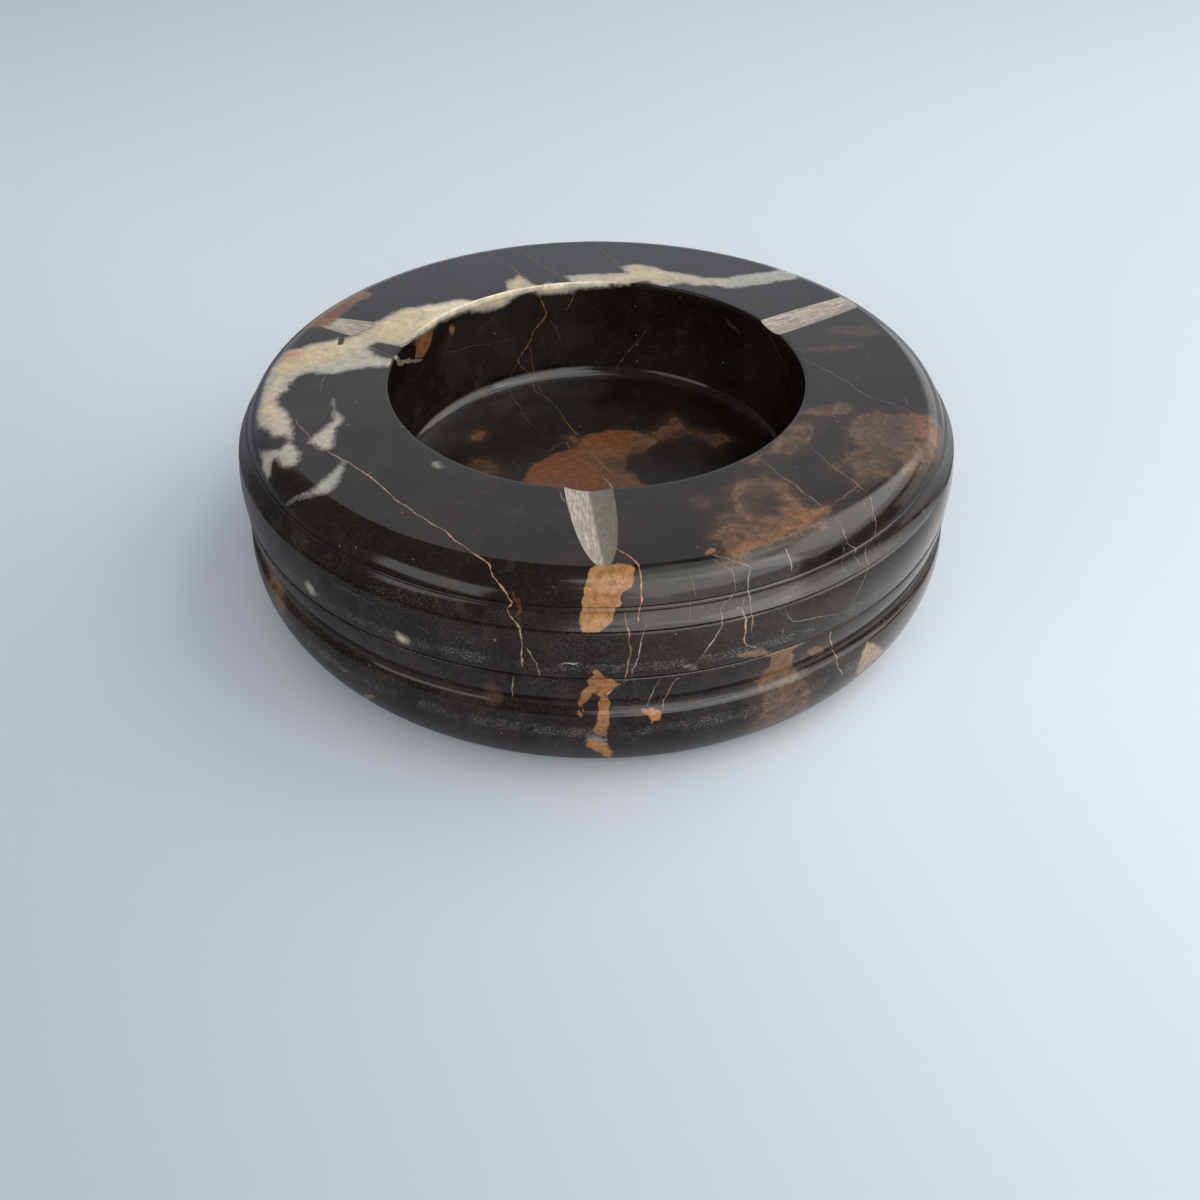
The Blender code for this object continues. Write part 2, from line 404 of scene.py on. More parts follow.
# The stone map. All its places are in millimetres, picked on the photographed stone and
# brought to real size through the camera fitted to it. Seen from above, (x, y) on the flat top
# and on the bowl's floor is a plain place. Past the flat's edge a place is (bearing, way down
# the outline), and past the floor's edge (bearing, way up the wall).
FLAT_EDGE = 66.0
FLOOR_EDGE = 41.4
SEAM_LAYERS = 4
SEAM_REACH = {"outer": 1.5, "inner": 2.4}
SEAM_CLEARANCE = 1.5
FAR_AWAY = 1000.0
TINT_REACH = 1.0
INLAY_REACH = 4.0
INLAY_GROUPS = ("white", "ochre", "cloud", "dark")

TINTS = {
    "milk": (250, 238, 208),
    "bone": (224, 203, 162),
    "cream": (212, 192, 152),
    "ivory": (200, 192, 172),
    "frost": (174, 177, 168),
    "beige": (170, 146, 122),
    "amber": (172, 116, 68),
    "gold": (168, 124, 80),
    "orange": (156, 106, 64),
    "salmon": (196, 134, 106),
    "copper": (120, 86, 54),
    "rust": (124, 73, 38),
    "tan": (128, 98, 70),
    "umber": (84, 62, 44),
    "peat": (66, 49, 40),
    "olive": (104, 82, 44),
    "moss": (66, 62, 36),
    "grey": (120, 114, 108),
    "ash": (84, 79, 75),
    "rosewood": (130, 100, 86),
    "blush": (180, 148, 126),
    "sienna": (122, 72, 54),
    "honey": (132, 94, 46),
}


def tone(red, green, blue):
    """An sRGB colour as the linear colour with alpha that a socket takes."""
    parts = Color([part / 255.0 for part in (red, green, blue)]).from_srgb_to_scene_linear()
    return (*parts, 1.0)


def linear(tint):
    """A named tint as the linear colour that the shader works in."""
    return tone(*TINTS[tint])[:3]


def unrolled(reach, bearing):
    """A bearing and a distance from the middle, as a place on an unrolled sheet."""
    return reach * math.cos(math.radians(bearing)), reach * math.sin(math.radians(bearing))


def side(*places):
    """Places past the flat's edge, on the shoulder and the side."""
    return [unrolled(FLAT_EDGE + way, bearing) for bearing, way in places]


def wall(*places):
    """Places on the bowl's wall, measured up from the floor."""
    return [unrolled(FLOOR_EDGE + way, bearing) for bearing, way in places]


class Sheet:
    """One unrolled sheet of the stone: its thin seams and its filled inlays."""

    def __init__(self):
        self.seams = []
        self.inlays = []

    def seam(self, tints, widths, *stretches, strength=1.0):
        """A thin seam. Tints and widths are spread evenly along it."""
        route = np.array([place for stretch in stretches for place in stretch])
        self.seams.append((route, tints.split(), widths, strength))

    def inlay(self, group, tints, outline, softness=0.12):
        """A filled patch. Tints is a name, or a list of (x, y, name) that it blends."""
        self.inlays.append((group, tints, np.array(outline), softness))


def draw_white_vein(outer):
    """The wide white vein round the bowl's back edge, and its branches on both sides."""
    outer.inlay(
        "white",
        [(-66, 8, "salmon"), (-66, 2, "cream"), (-62, -24, "ivory"), (-60, 7, "bone"),
         (-45, 24, "bone"), (-30, 31, "milk"), (-50, 0.5, "frost"), (-58, 12, "bone"),
         (-57, -1, "frost"), (-64, -14, "bone"), (-60, -31, "ivory"), (-65, -31, "frost"),
         (-66, -4, "ivory"), (-46, 4, "ivory")],
        [(-26, 31), (-27.5, 33), (-29.6, 33.8), (-31.9, 34), (-33.5, 33.5), (-35, 32.4),
         (-36.7, 31.6), (-38.5, 31.6), (-40, 30.7), (-41.3, 29.9), (-43.1, 29.7),
         (-44.2, 28.8), (-45.8, 27.2), (-47.2, 25.1), (-48.5, 23.5), (-49.5, 22.2),
         (-49.9, 20.6), (-51.3, 19.5), (-52.2, 18.3), (-53.3, 15.8), (-54.9, 15.2),
         (-56.6, 14.8), (-57.7, 13.9), (-59.7, 13), (-61.7, 12.1), (-63.6, 10.7),
         (-65.9, 9.9)]
        + side((172.3, 1.7), (175.5, 2.1), (177.9, 2.8), (-177.8, 2.7), (-174.4, 2.8),
               (-170.6, 3.1), (-168, 3.7), (-165.3, 3.9), (-163, 3.3), (-160.7, 1.9),
               (-157.6, 1.1))
        + [(-59.7, -25.3), (-59.2, -26.7)]
        + side((-153.5, 0.6), (-153.9, 1.5), (-154.6, 2), (-156.8, 3.8), (-158, 4.6),
               (-156.4, 5), (-153.5, 5.9), (-152, 6.1), (-150.4, 6.3), (-150, 5.2),
               (-151.3, 3.7), (-151.9, 2.6), (-150.7, 2.4), (-148.9, 2.1), (-147.6, 1.2))
        + [(-55.4, -35.7), (-55.2, -33.7), (-55.5, -31.3), (-56.4, -29.6), (-57.6, -27.4),
           (-58.1, -25.3), (-58.6, -22.4), (-59.1, -20.1), (-60.2, -17.5), (-61.2, -15.6),
           (-62.6, -14.4), (-63.8, -11.7), (-63.3, -8.9), (-62.3, -8.1), (-62.5, -6.1),
           (-62.2, -3.6), (-61.2, -2.3), (-60.2, -1.1), (-58.6, -0.9), (-56.4, -1.3),
           (-54.3, -1.3), (-52.4, -0.4), (-50.8, 0.2), (-49.3, 1), (-47.3, 1.4),
           (-45.2, 1.8), (-43, 1.6), (-41.4, 0.8), (-41.3, 5), (-42.8, 5.2), (-44.6, 6.1),
           (-45.9, 6.6), (-47.4, 8), (-48.5, 9.8), (-48.5, 11.3), (-47.1, 12.5),
           (-45.4, 12.1), (-42.7, 11.8), (-40.3, 11.3), (-36, 19.5), (-30, 27.5)],
    )
    outer.inlay(
        "dark", "umber",
        [(-56.2, 14.8), (-55.9, 13.3), (-55.7, 11.7), (-55.3, 10.8), (-54.6, 12.2),
         (-54.6, 14.8)],
    )
    outer.inlay(
        "white", [(-20, 42, "cream"), (-12, 42, "ivory")],
        [(-21.2, 37), (-21, 38.4), (-21.3, 41.1), (-21.5, 42.6), (-21.2, 43.6), (-20, 44.7),
         (-19.2, 45.9), (-18.5, 47.2), (-17.5, 46.1), (-16.2, 44.2), (-15.2, 42.6),
         (-14.2, 41.5), (-13.3, 41.4), (-12.3, 42.4), (-10.8, 42.8), (-9.2, 42.3),
         (-8.1, 42), (-10, 39.5), (-16, 37.5)],
    )
    outer.inlay(
        "white",
        [(-5, 45, "ivory"), (12, 47, "cream"), (25, 43, "ivory"), (36, 44, "frost"),
         (48, 47, "frost")],
        [(-6.3, 42), (-6.7, 43.4), (-7.3, 44.9), (-7.5, 46.1), (-7.1, 46.7), (-5, 46.8),
         (-4.6, 47.4), (-2.3, 47.4), (0, 47.6), (2.5, 47.6), (5, 48), (6.9, 48.2),
         (6.25, 49.7), (5.8, 50.9), (6.25, 51.75), (7.7, 52.6), (9.6, 52.9), (11.5, 52.7),
         (12.5, 52.25), (14.2, 51.3), (15.4, 50.1), (17.1, 49), (18.75, 48.4), (20.8, 47.7),
         (23.3, 46.75), (24.8, 45.9), (25.5, 45.1), (27.5, 45.3), (30, 45.2), (31.25, 45.3),
         (32.7, 46.1), (34.6, 46.75), (36.25, 47.4), (38.3, 48), (40, 48.2), (41.7, 48.8),
         (43.6, 50.2)]
        + side((49.6, 3.4), (49.0, 6.5), (48.2, 9.0), (47.9, 12.5), (47.1, 16.5), (46.4, 13.0),
               (46.2, 9.5), (45.2, 6.8), (44.7, 3.6), (43.6, 1.8))
        + [(47.9, 46.6), (47.9, 44.25), (46.7, 43.8), (45, 43.4), (43.3, 43), (41.7, 42.4),
           (39.6, 41.3), (37.5, 40.9), (35.4, 40.3), (33.3, 39.7), (31.7, 39.25), (30, 39.5),
           (28.75, 40.3), (27.1, 40.7), (25, 40.7), (22.5, 40.7), (21.7, 41.3), (20, 42),
           (18.3, 41.1), (16.7, 40.3), (15.4, 40.3), (14.4, 40.9), (12.9, 42), (12.1, 43),
           (11.25, 43.2), (10.2, 43), (9.4, 41.6), (0, 41)],
    )
    outer.inlay(
        "white", [(-52, -13, "frost"), (-51, -27, "ivory")],
        [(-52.9, -10.8), (-52.2, -13.3), (-51.5, -15.5), (-50.4, -17.6), (-49.5, -19),
         (-49.2, -20.5), (-49.9, -22.4), (-50.1, -24.6), (-49.9, -26.9), (-49.5, -28.7),
         (-49.9, -30.1), (-51.7, -30.5), (-53.3, -29.2), (-54.7, -27.6), (-54.5, -25.5),
         (-53.5, -23.5), (-52.6, -21.5), (-51.7, -19.9), (-51.7, -18.7), (-52.2, -16.5),
         (-52.6, -13.7)],
    )
    outer.inlay(
        "white", "frost",
        [(-47.5, -33.1), (-46.7, -34.1), (-46.4, -37.1), (-46.8, -40.4), (-47.3, -43),
         (-48.4, -44.8)]
        + side((-138.4, 1.9), (-139.9, 3.1), (-141, 4.5), (-142.8, 6.3), (-141.6, 4.1),
               (-140.6, 2.2), (-139.9, 0.4))
        + [(-50.2, -41), (-49.3, -39.1), (-48.3, -36.8), (-47.8, -34.8)],
    )


def draw_left_seams(outer):
    """The thin pale seam down the left front, and the seams, flecks and patches near it."""
    outer.seam(
        "grey rosewood grey", (0.25, 0.4, 0.3),
        [(-58.8, -18.6), (-58.2, -20.8), (-56.8, -22.8), (-55.4, -24.6), (-54.6, -26.4)],
    )
    outer.seam(
        "grey blush blush blush blush blush blush blush blush blush beige beige beige",
        (0.3, 0.35, 0.4, 0.35, 0.35, 0.3, 0.35, 0.3, 0.35, 0.5, 0.35, 0.45, 0.35),
        [(-51.3, -29.6), (-49.9, -31.5), (-48.8, -32.4), (-47.2, -33.7), (-45.6, -34.9),
         (-44, -36.7), (-42.2, -38.5), (-40.4, -40.5), (-38.1, -43.4), (-36.2, -45.9),
         (-34.8, -47.8), (-33.1, -49.2), (-31.7, -51.1), (-30.1, -52.4), (-29, -53.6),
         (-27.5, -54.9), (-26, -56.1), (-25.2, -57.5), (-23.5, -59.5), (-22.3, -60.5),
         (-21.5, -61.7), (-20.4, -62.8)],
        side((-107.2, 0.4), (-106.2, 0.9), (-105.3, 1.6), (-104.9, 2.8), (-103.9, 3.8),
             (-103, 5.1), (-102.2, 5.8), (-101.8, 6.6), (-101.4, 7.4), (-101.6, 8.2),
             (-102, 8.8), (-102.1, 9.5), (-101.5, 10.4), (-100.9, 11), (-100.4, 11.5),
             (-100, 12.4), (-99.9, 13.6), (-99.6, 15.5), (-99.8, 17.9), (-99.7, 20.4)),
    )
    outer.seam(
        "rust copper rust", (0.9, 1.4, 0.8),
        side((-101.4, 5.6), (-100.5, 7.4), (-100.2, 9), (-100.7, 10.4)),
        strength=0.45,
    )
    outer.seam(
        "beige grey", (0.35, 0.25),
        side((-99.2, 16.2), (-98.6, 17.2), (-98.2, 18.6), (-97.9, 19.2), (-97.6, 21.2),
             (-97.5, 23.2)),
    )
    outer.seam(
        "grey ivory grey", (0.2, 0.25, 0.2),
        side((-101, 24.1), (-101.2, 25.3), (-101.4, 27.1), (-101.5, 28.8), (-101.7, 30.3)),
        strength=0.7,
    )
    outer.seam(
        "salmon copper salmon", (0.25, 0.35, 0.25),
        [(-48.5, 10.4), (-46.7, 9.2), (-45.1, 8.1), (-43.8, 6.7), (-42.6, 5.8)],
    )
    outer.seam(
        "beige grey grey", (0.35, 0.2, 0.2),
        [(-55.8, -1.6), (-56.3, -4.2), (-55.8, -9.2)],
        strength=0.6,
    )
    outer.inlay(
        "white", "frost",
        [(-30.7, -34.8), (-29.9, -34.1), (-28.8, -35.2), (-27.4, -36.6), (-28.9, -36.6),
         (-30, -36)],
    )
    outer.inlay(
        "ochre", "peat",
        side((-105.7, 29.4), (-105, 26.8), (-103.9, 26.2), (-103.2, 27.1), (-103, 29.6),
             (-103.3, 31.5), (-104.1, 32.4), (-105.1, 32.2), (-105.9, 31.3)),
        softness=0.7,
    )
    outer.seam(
        "rosewood copper rosewood", (0.2, 0.4, 0.25),
        side((-143.3, 24.4), (-144.4, 26.5), (-146.4, 28.8), (-148.3, 30.9)),
    )
    outer.seam(
        "rosewood copper rosewood", (0.25, 0.45, 0.25),
        side((-136.7, 35.4), (-137.2, 37), (-138.9, 40), (-140.8, 42.6)),
    )
    outer.seam(
        "tan beige tan", (2.0, 2.8, 2.0),
        side((-124, 40.6), (-126, 43), (-127.6, 45.9), (-129.5, 48.8)),
        strength=0.8,
    )
    outer.seam(
        "grey ash", (0.2, 0.2, 0.2),
        side((-129.7, 14.7), (-120, 15.3), (-114.7, 15.9), (-111.1, 17.6), (-110, 18.2)),
        strength=0.5,
    )
    outer.inlay(
        "white", "ivory",
        side((-118.1, 19.7), (-117.4, 19.1), (-116, 19.1), (-115.7, 20.3), (-116, 21.2),
             (-117, 21.6), (-117.9, 20.9)),
    )
    outer.inlay(
        "white", "grey",
        side((-135.3, 19.6), (-134.8, 18.4), (-134, 18), (-133.2, 18.4), (-132.7, 19.6),
             (-133.2, 20.8), (-134, 21.2), (-134.8, 20.8)),
        softness=0.5,
    )
    outer.inlay(
        "cloud", "copper",
        side((-152.3, 30), (-150, 26), (-146.3, 25.1), (-144.8, 26.5), (-145.6, 31),
             (-143.6, 34.5), (-145, 38), (-148.5, 37), (-150.5, 34)),
        softness=0.8,
    )
    outer.inlay(
        "ochre", [(-61, 24, "rust"), (-57, 32, "copper"), (-54, 37, "tan")],
        [(-63, 19.7), (-60.5, 20.2), (-58.6, 22.5), (-57.6, 25), (-56.4, 27.5), (-55.5, 30.5),
         (-54.3, 33.2), (-52.3, 34.5), (-52, 36.8), (-53.3, 38.2), (-56.6, 38.4),
         (-59.6, 35.4), (-61.8, 31), (-64.5, 26.5), (-66.3, 21)],
        softness=0.9,
    )


def draw_front_seams(outer):
    """The amber patches below the front rest, the seam that crosses it and those near it."""
    outer.inlay(
        "ochre", [(1, -67, "gold"), (0, -76, "gold"), (5, -70, "amber")],
        [(-1.5, -67.2), (-0.8, -66.3), (-0.2, -65.8), (1, -65.7), (2.1, -65.5), (3.5, -65.3),
         (4.8, -65.3), (6, -65.8), (6.3, -66.9)]
        + side((-84.9, 2.6), (-85.4, 4), (-86.5, 5.1), (-86.7, 5.7), (-86.7, 7),
               (-87.6, 7.9), (-87.7, 8.8), (-88, 10.1), (-88.6, 11.3), (-89.6, 12),
               (-90, 12.6), (-91, 12.8), (-91.9, 12.6), (-92.2, 11.3), (-92.4, 10.3),
               (-92.2, 8.8), (-91.9, 7.6), (-91.9, 6.3), (-91.6, 5), (-91.6, 3.8),
               (-91.4, 1.8)),
    )
    outer.seam(
        "grey beige salmon salmon salmon salmon salmon salmon salmon",
        (0.2, 0.25, 0.35, 0.35, 0.4, 0.4, 0.4, 0.45, 0.3),
        [(-6.7, -42.6), (-6.5, -44.9), (-5.9, -46.7), (-5.2, -48), (-4.4, -49.7),
         (-3.7, -51.3), (-2.7, -53.2), (-1.5, -55.1), (-0.6, -56.7), (0.2, -58), (1.7, -59),
         (2.3, -60.1), (2.9, -60.5), (3.7, -61.7), (5.2, -63.2), (6.2, -64.5)],
        side((-83.9, 0.4), (-83.9, 1.8), (-83.9, 3.5), (-84, 5), (-84.1, 7.1), (-84.4, 8.5),
             (-84.5, 10.7)),
    )
    outer.seam(
        "salmon salmon copper salmon salmon", (0.25, 0.4, 0.35, 0.35, 0.25),
        side((-86.4, 8.8), (-86.2, 11.2), (-85.9, 12.6), (-85.9, 14.7), (-85.7, 16.8),
             (-86, 18.8), (-86.1, 20.6), (-86.3, 22.1), (-86.5, 23.5)),
    )
    outer.seam(
        "grey ivory ivory grey ash ash", (0.2, 0.2, 0.2, 0.2, 0.2, 0.2),
        side((-83.7, 11.2), (-84, 12.6), (-84.4, 14.7), (-84.5, 15.9), (-84.7, 17.6),
             (-85, 19.4), (-85.4, 20.6), (-85.5, 23.5), (-85.2, 24.4), (-84.9, 26.5),
             (-84.6, 29.1)),
        strength=0.8,
    )
    outer.inlay(
        "ochre", [(0, -87, "orange"), (1, -93, "orange"), (0, -98, "orange"),
                  (-2, -100, "amber"), (1, -104, "copper")],
        side((-90.1, 20), (-90.4, 20.9), (-90.6, 21.9), (-91, 22.5), (-90.9, 23.2),
             (-91.2, 24), (-91.1, 24.7), (-91.5, 25.4), (-92.1, 26.3), (-92.3, 27.9),
             (-92.5, 29.7), (-92.6, 31.2), (-92.7, 32.6), (-92.4, 33.5), (-91.9, 33.2),
             (-91.8, 32.1), (-91.9, 30.7), (-91.4, 29.7), (-90.9, 28.5), (-90.7, 27.1),
             (-90.6, 26.5), (-90.2, 26.8), (-89.9, 27.6), (-89.6, 29), (-89.8, 30.9),
             (-89.9, 32.9), (-90, 34.7), (-90.6, 36.2), (-91.2, 37.5), (-88.7, 37.8),
             (-88.7, 35.9), (-88.4, 34.1), (-88.2, 32.6), (-88.3, 31.2), (-88.2, 30.3),
             (-88.4, 29.1), (-88.6, 27.9), (-88.2, 25.9), (-87.5, 25.4), (-86.9, 24.7),
             (-87, 24.2), (-88, 23.8), (-88.7, 23.4), (-88.8, 22.5), (-89.2, 21.9),
             (-89.5, 21.5), (-89.8, 20.6)),
    )
    outer.seam(
        "ivory bone", (0.2, 0.4, 0.2),
        side((-87.9, 25.8), (-88.3, 26.8), (-88.8, 27.6)),
    )
    outer.seam("ivory ivory", (0.2, 0.2), side((-86.6, 24.1), (-85.7, 24)), strength=0.7)
    outer.inlay(
        "white", "ivory",
        side((-91.5, 37.8), (-90.7, 37.4), (-90, 37.8), (-88.7, 38.2), (-88.6, 39.3),
             (-89.5, 39.4), (-90.5, 38.8)),
    )
    outer.inlay(
        "ochre", "amber",
        side((-92, 39.7), (-91.4, 38.8), (-90.5, 38.8), (-88.7, 39.6), (-88.4, 41.5),
             (-87.9, 44.1), (-87.9, 45.9), (-87.6, 48.5), (-87.7, 50), (-88.5, 49.7),
             (-88.7, 47), (-89.4, 44.7), (-90.2, 42.4), (-91.4, 40.9)),
        softness=0.4,
    )
    outer.inlay(
        "ochre", "amber",
        side((-84, 31.8), (-83.5, 31.6), (-83.2, 32.1), (-82.9, 31.6), (-82.2, 31.6),
             (-81.7, 32.5), (-81.4, 33.2), (-81.5, 34.4), (-82.2, 35.7), (-82.9, 34.4),
             (-83.4, 33.5), (-83.9, 32.9)),
    )
    outer.seam(
        "amber salmon salmon grey", (0.25, 0.2, 0.2, 0.2),
        side((-81.4, 32.6), (-80.9, 30.3), (-80.4, 27.9), (-80, 25.3), (-79, 24.4)),
    )
    outer.seam(
        "ivory ivory grey", (0.2, 0.2, 0.2),
        side((-83.2, 31.2), (-82.7, 28.2), (-82.5, 26.2), (-81.7, 24.4)),
        strength=0.8,
    )
    outer.inlay(
        "white", [(20, -84, "ivory"), (21, -87, "amber")],
        side((-78.7, 20.7), (-76.9, 20.9), (-77.2, 21.9), (-77, 23.2), (-77.5, 23.5),
             (-77.7, 22.9), (-77.7, 22), (-78.4, 21.5)),
    )
    outer.seam(
        "grey ivory ivory beige grey grey", (0.2, 0.25, 0.25, 0.25, 0.2, 0.2),
        side((-76.7, 20.3), (-76.2, 19.1), (-75.6, 17.6), (-74.7, 16), (-74.2, 14.6),
             (-73.7, 13.7), (-73.5, 11.8), (-73.4, 10.4), (-72.5, 9.3), (-71.6, 8.2),
             (-71.2, 7.1), (-71, 5.9), (-70.9, 4.4), (-71.1, 3.2)),
        strength=0.85,
    )
    outer.seam(
        "grey ivory frost grey", (0.3, 0.6, 0.5, 0.3),
        side((-94.6, 19.1), (-93.9, 18.9), (-93.1, 19.1), (-92.4, 18.8)),
    )
    outer.seam(
        "grey grey", (0.2, 0.2), side((-77, 2.4), (-76.7, 7)), strength=0.5,
    )
    outer.seam(
        "grey grey", (0.2, 0.2), side((-77.6, 7.4), (-77.6, 10.9)), strength=0.5,
    )
    outer.seam(
        "copper rust", (0.25, 0.25),
        side((-73, 0.9), (-72.5, 2.1), (-71.7, 2.9), (-71, 3.2), (-70.2, 1.8)),
    )


def draw_right_side(outer):
    """The seams, the tan patches and the copper cloud on the right of the side."""
    outer.seam(
        "grey beige beige blush beige", (0.2, 0.3, 0.25, 0.3, 0.25),
        side((-68.3, 3.8), (-69, 5.3), (-69.2, 6.5), (-69.2, 8.2), (-68.9, 9.4),
             (-69.1, 11.2), (-69.3, 12.6), (-69.4, 14.7), (-69.5, 16.2)),
    )
    outer.seam(
        "grey beige blush blush beige beige", (0.2, 0.3, 0.55, 0.45, 0.3, 0.25),
        side((-69.9, 9.7), (-70.5, 10.9), (-70.6, 11.8), (-70.2, 13.2), (-70.4, 14.7),
             (-70.3, 15.9), (-70.6, 17.4), (-70.2, 18.4), (-69.4, 19.3), (-68.5, 20.1)),
    )
    outer.inlay(
        "ochre", [(28, -82, "tan"), (40, -78, "tan"), (38, -86, "copper")],
        side((-71.2, 20.7), (-69.5, 20.4), (-67.7, 20.7), (-66.2, 22), (-64.8, 23.4),
             (-62.6, 23.7), (-61.2, 23.6), (-60.9, 24), (-62.3, 24.5), (-62.6, 24.8),
             (-62.2, 27.2), (-61.8, 29.6), (-62.8, 31), (-64, 30.2), (-65.2, 31.4),
             (-66.8, 31), (-67, 28.4), (-66.1, 26.8), (-65.8, 25.1), (-66.4, 24),
             (-68.7, 22.3), (-70.6, 21.5)),
        softness=0.25,
    )
    outer.inlay(
        "cloud", [(40, -86, "copper"), (45, -84, "copper"), (38, -96, "copper"),
                  (44, -94, "copper")],
        side((-67, 28.8), (-64.5, 29.2), (-61.8, 29.4), (-61.2, 31.4), (-60.4, 33.4),
             (-59.1, 35.2), (-57.8, 38.6), (-58.2, 41), (-59.6, 42.6), (-61.3, 44.8),
             (-63.6, 44.6), (-65.6, 45.2), (-67, 46.4), (-67.6, 41.4), (-66.8, 39.5),
             (-66.6, 36.9), (-67.2, 34.3), (-67.2, 31)),
        softness=0.7,
    )
    outer.inlay(
        "ochre", "copper",
        side((-60, 26.4), (-59.5, 25.8), (-58.4, 26), (-57.1, 27.1), (-56.1, 28.8),
             (-56.1, 29.9), (-57.4, 29.2), (-58.8, 28.3), (-59.6, 27.3)),
        softness=0.4,
    )
    outer.inlay(
        "ochre", [(58, -80, "tan"), (64, -76, "beige"), (60, -88, "copper")],
        side((-48.5, 34.7), (-47.5, 33.3), (-46, 34.8), (-44.6, 36.5), (-42.5, 39.4),
             (-41.8, 41.8), (-44.5, 40.6), (-45.6, 41.4), (-46.7, 42.1), (-47.3, 43.7),
             (-48.9, 39.5), (-48.8, 36.5)),
        softness=0.5,
    )
    outer.seam(
        "ivory ivory beige amber beige beige", (0.2, 0.25, 0.3, 0.35, 0.3, 0.2),
        side((-56, 24.1), (-56.1, 25), (-55.6, 27.1), (-55, 28.5), (-54.2, 30.6),
             (-53.9, 31.8), (-53.9, 32.6), (-54, 33.8), (-53.5, 35.3), (-52.7, 36.8),
             (-52.1, 38.5)),
    )
    outer.seam(
        "grey rosewood grey grey grey", (0.2, 0.3, 0.25, 0.25, 0.2),
        side((-43.2, 0.9), (-44.7, 3.5), (-45.5, 5.6), (-46.5, 7.6), (-48.2, 9.1),
             (-49, 10.3), (-49.5, 12.3), (-50, 13.5), (-50.6, 14.7), (-51.5, 16.2),
             (-52.2, 17.6), (-53.2, 19.1)),
    )
    outer.seam(
        "grey ivory ivory grey", (0.2, 0.25, 0.25, 0.2),
        side((-55.1, 19.4), (-56.2, 18.8), (-57.7, 18.4), (-59.2, 17.8), (-60.2, 17.6),
             (-62, 17.2), (-63.5, 16.5), (-64, 14.7), (-64.7, 13.2)),
        strength=0.45,
    )
    outer.seam("ivory grey", (0.2, 0.2), side((-64.6, 17.4), (-64.9, 19.4)), strength=0.7)
    outer.seam(
        "grey beige grey beige grey", (0.2, 0.25, 0.2, 0.25, 0.2),
        side((-51.5, 0.9), (-51.5, 2.4), (-51.9, 3.8), (-51.9, 5.9), (-51.2, 7.1),
             (-50.4, 7.8), (-50.9, 8.5), (-50.7, 11.2)),
        strength=0.8,
    )
    outer.seam(
        "grey grey", (0.2, 0.2), side((-52.9, 5.3), (-53, 7.6), (-53.5, 9.7), (-53.6, 11.2)),
        strength=0.6,
    )
    outer.seam(
        "ivory ivory", (0.25, 0.25), side((-62, 2.6), (-62.1, 4.7), (-62.2, 6.3)), strength=0.6,
    )
    outer.seam("ivory ivory", (0.3, 0.3), side((-69.1, 37.4), (-69.1, 38.2)))


def draw_back_seams(outer):
    """The thin seams over the back of the flat top and side, and a small cloud on the side."""
    outer.seam(
        "sienna sienna sienna sienna", (0.4, 0.4, 0.45, 0.3),
        [(-26, 65.7), (-27.5, 63), (-26.5, 59.2), (-25.4, 57.2), (-23.8, 55.3),
         (-21.9, 53.4), (-20, 50.7), (-18.7, 48.4), (-17.3, 46.5), (-16, 44.2),
         (-15.2, 41.8)],
    )
    outer.seam(
        "sienna sienna sienna", (0.4, 0.4, 0.35),
        [(-19.6, 63.8), (-18.7, 61.1), (-17.3, 58.8), (-15.8, 56.5), (-14.2, 53.8),
         (-12.3, 51.1), (-10, 48.2), (-8.1, 46.1), (-7.5, 44.5), (-6.9, 43)],
    )
    outer.seam(
        "sienna sienna sienna", (0.4, 0.4, 0.4),
        [(0.6, 64.7), (0.8, 62.2), (2.1, 60.1), (3.1, 57.6), (4.6, 55.1), (5, 53.4),
         (5.4, 51.5), (6.2, 49.7), (6.9, 48.4)],
    )
    outer.seam(
        "sienna rosewood beige grey", (0.35, 0.4, 0.35, 0.2),
        side((112.3, 3.6), (111.0, 7.5), (111.8, 12.0), (110.2, 17.5), (110.9, 24.0),
             (109.3, 29.5), (109.9, 36.0)),
        strength=0.8,
    )
    outer.seam(
        "sienna rosewood rosewood beige grey", (0.4, 0.35, 0.4, 0.3, 0.2),
        side((89.2, 0.4), (90.4, 5.0), (89.6, 10.5), (91.3, 15.0), (90.8, 22.5), (92.4, 31.0)),
        strength=0.8,
    )
    outer.seam(
        "grey beige blush beige grey", (0.2, 0.3, 0.35, 0.3, 0.2),
        side((20.5, 1.5), (23.0, 7.0), (21.8, 12.5), (25.4, 18.0), (24.6, 25.5), (28.0, 33.0)),
        strength=0.7,
    )
    outer.seam(
        "grey rosewood beige grey", (0.2, 0.35, 0.3, 0.2),
        side((158.0, 6.0), (155.4, 12.5), (156.2, 19.0), (152.6, 25.0), (153.1, 33.5)),
        strength=0.7,
    )
    outer.inlay(
        "cloud", [(60, 60, "copper"), (70, 70, "umber")],
        side((60.5, 19.0), (63.8, 17.6), (67.0, 19.4), (70.6, 18.2), (72.2, 22.5), (69.8, 27.0),
             (71.0, 32.5), (67.2, 35.8), (64.1, 33.0), (62.6, 27.5), (59.3, 24.6)),
        softness=1.0,
    )


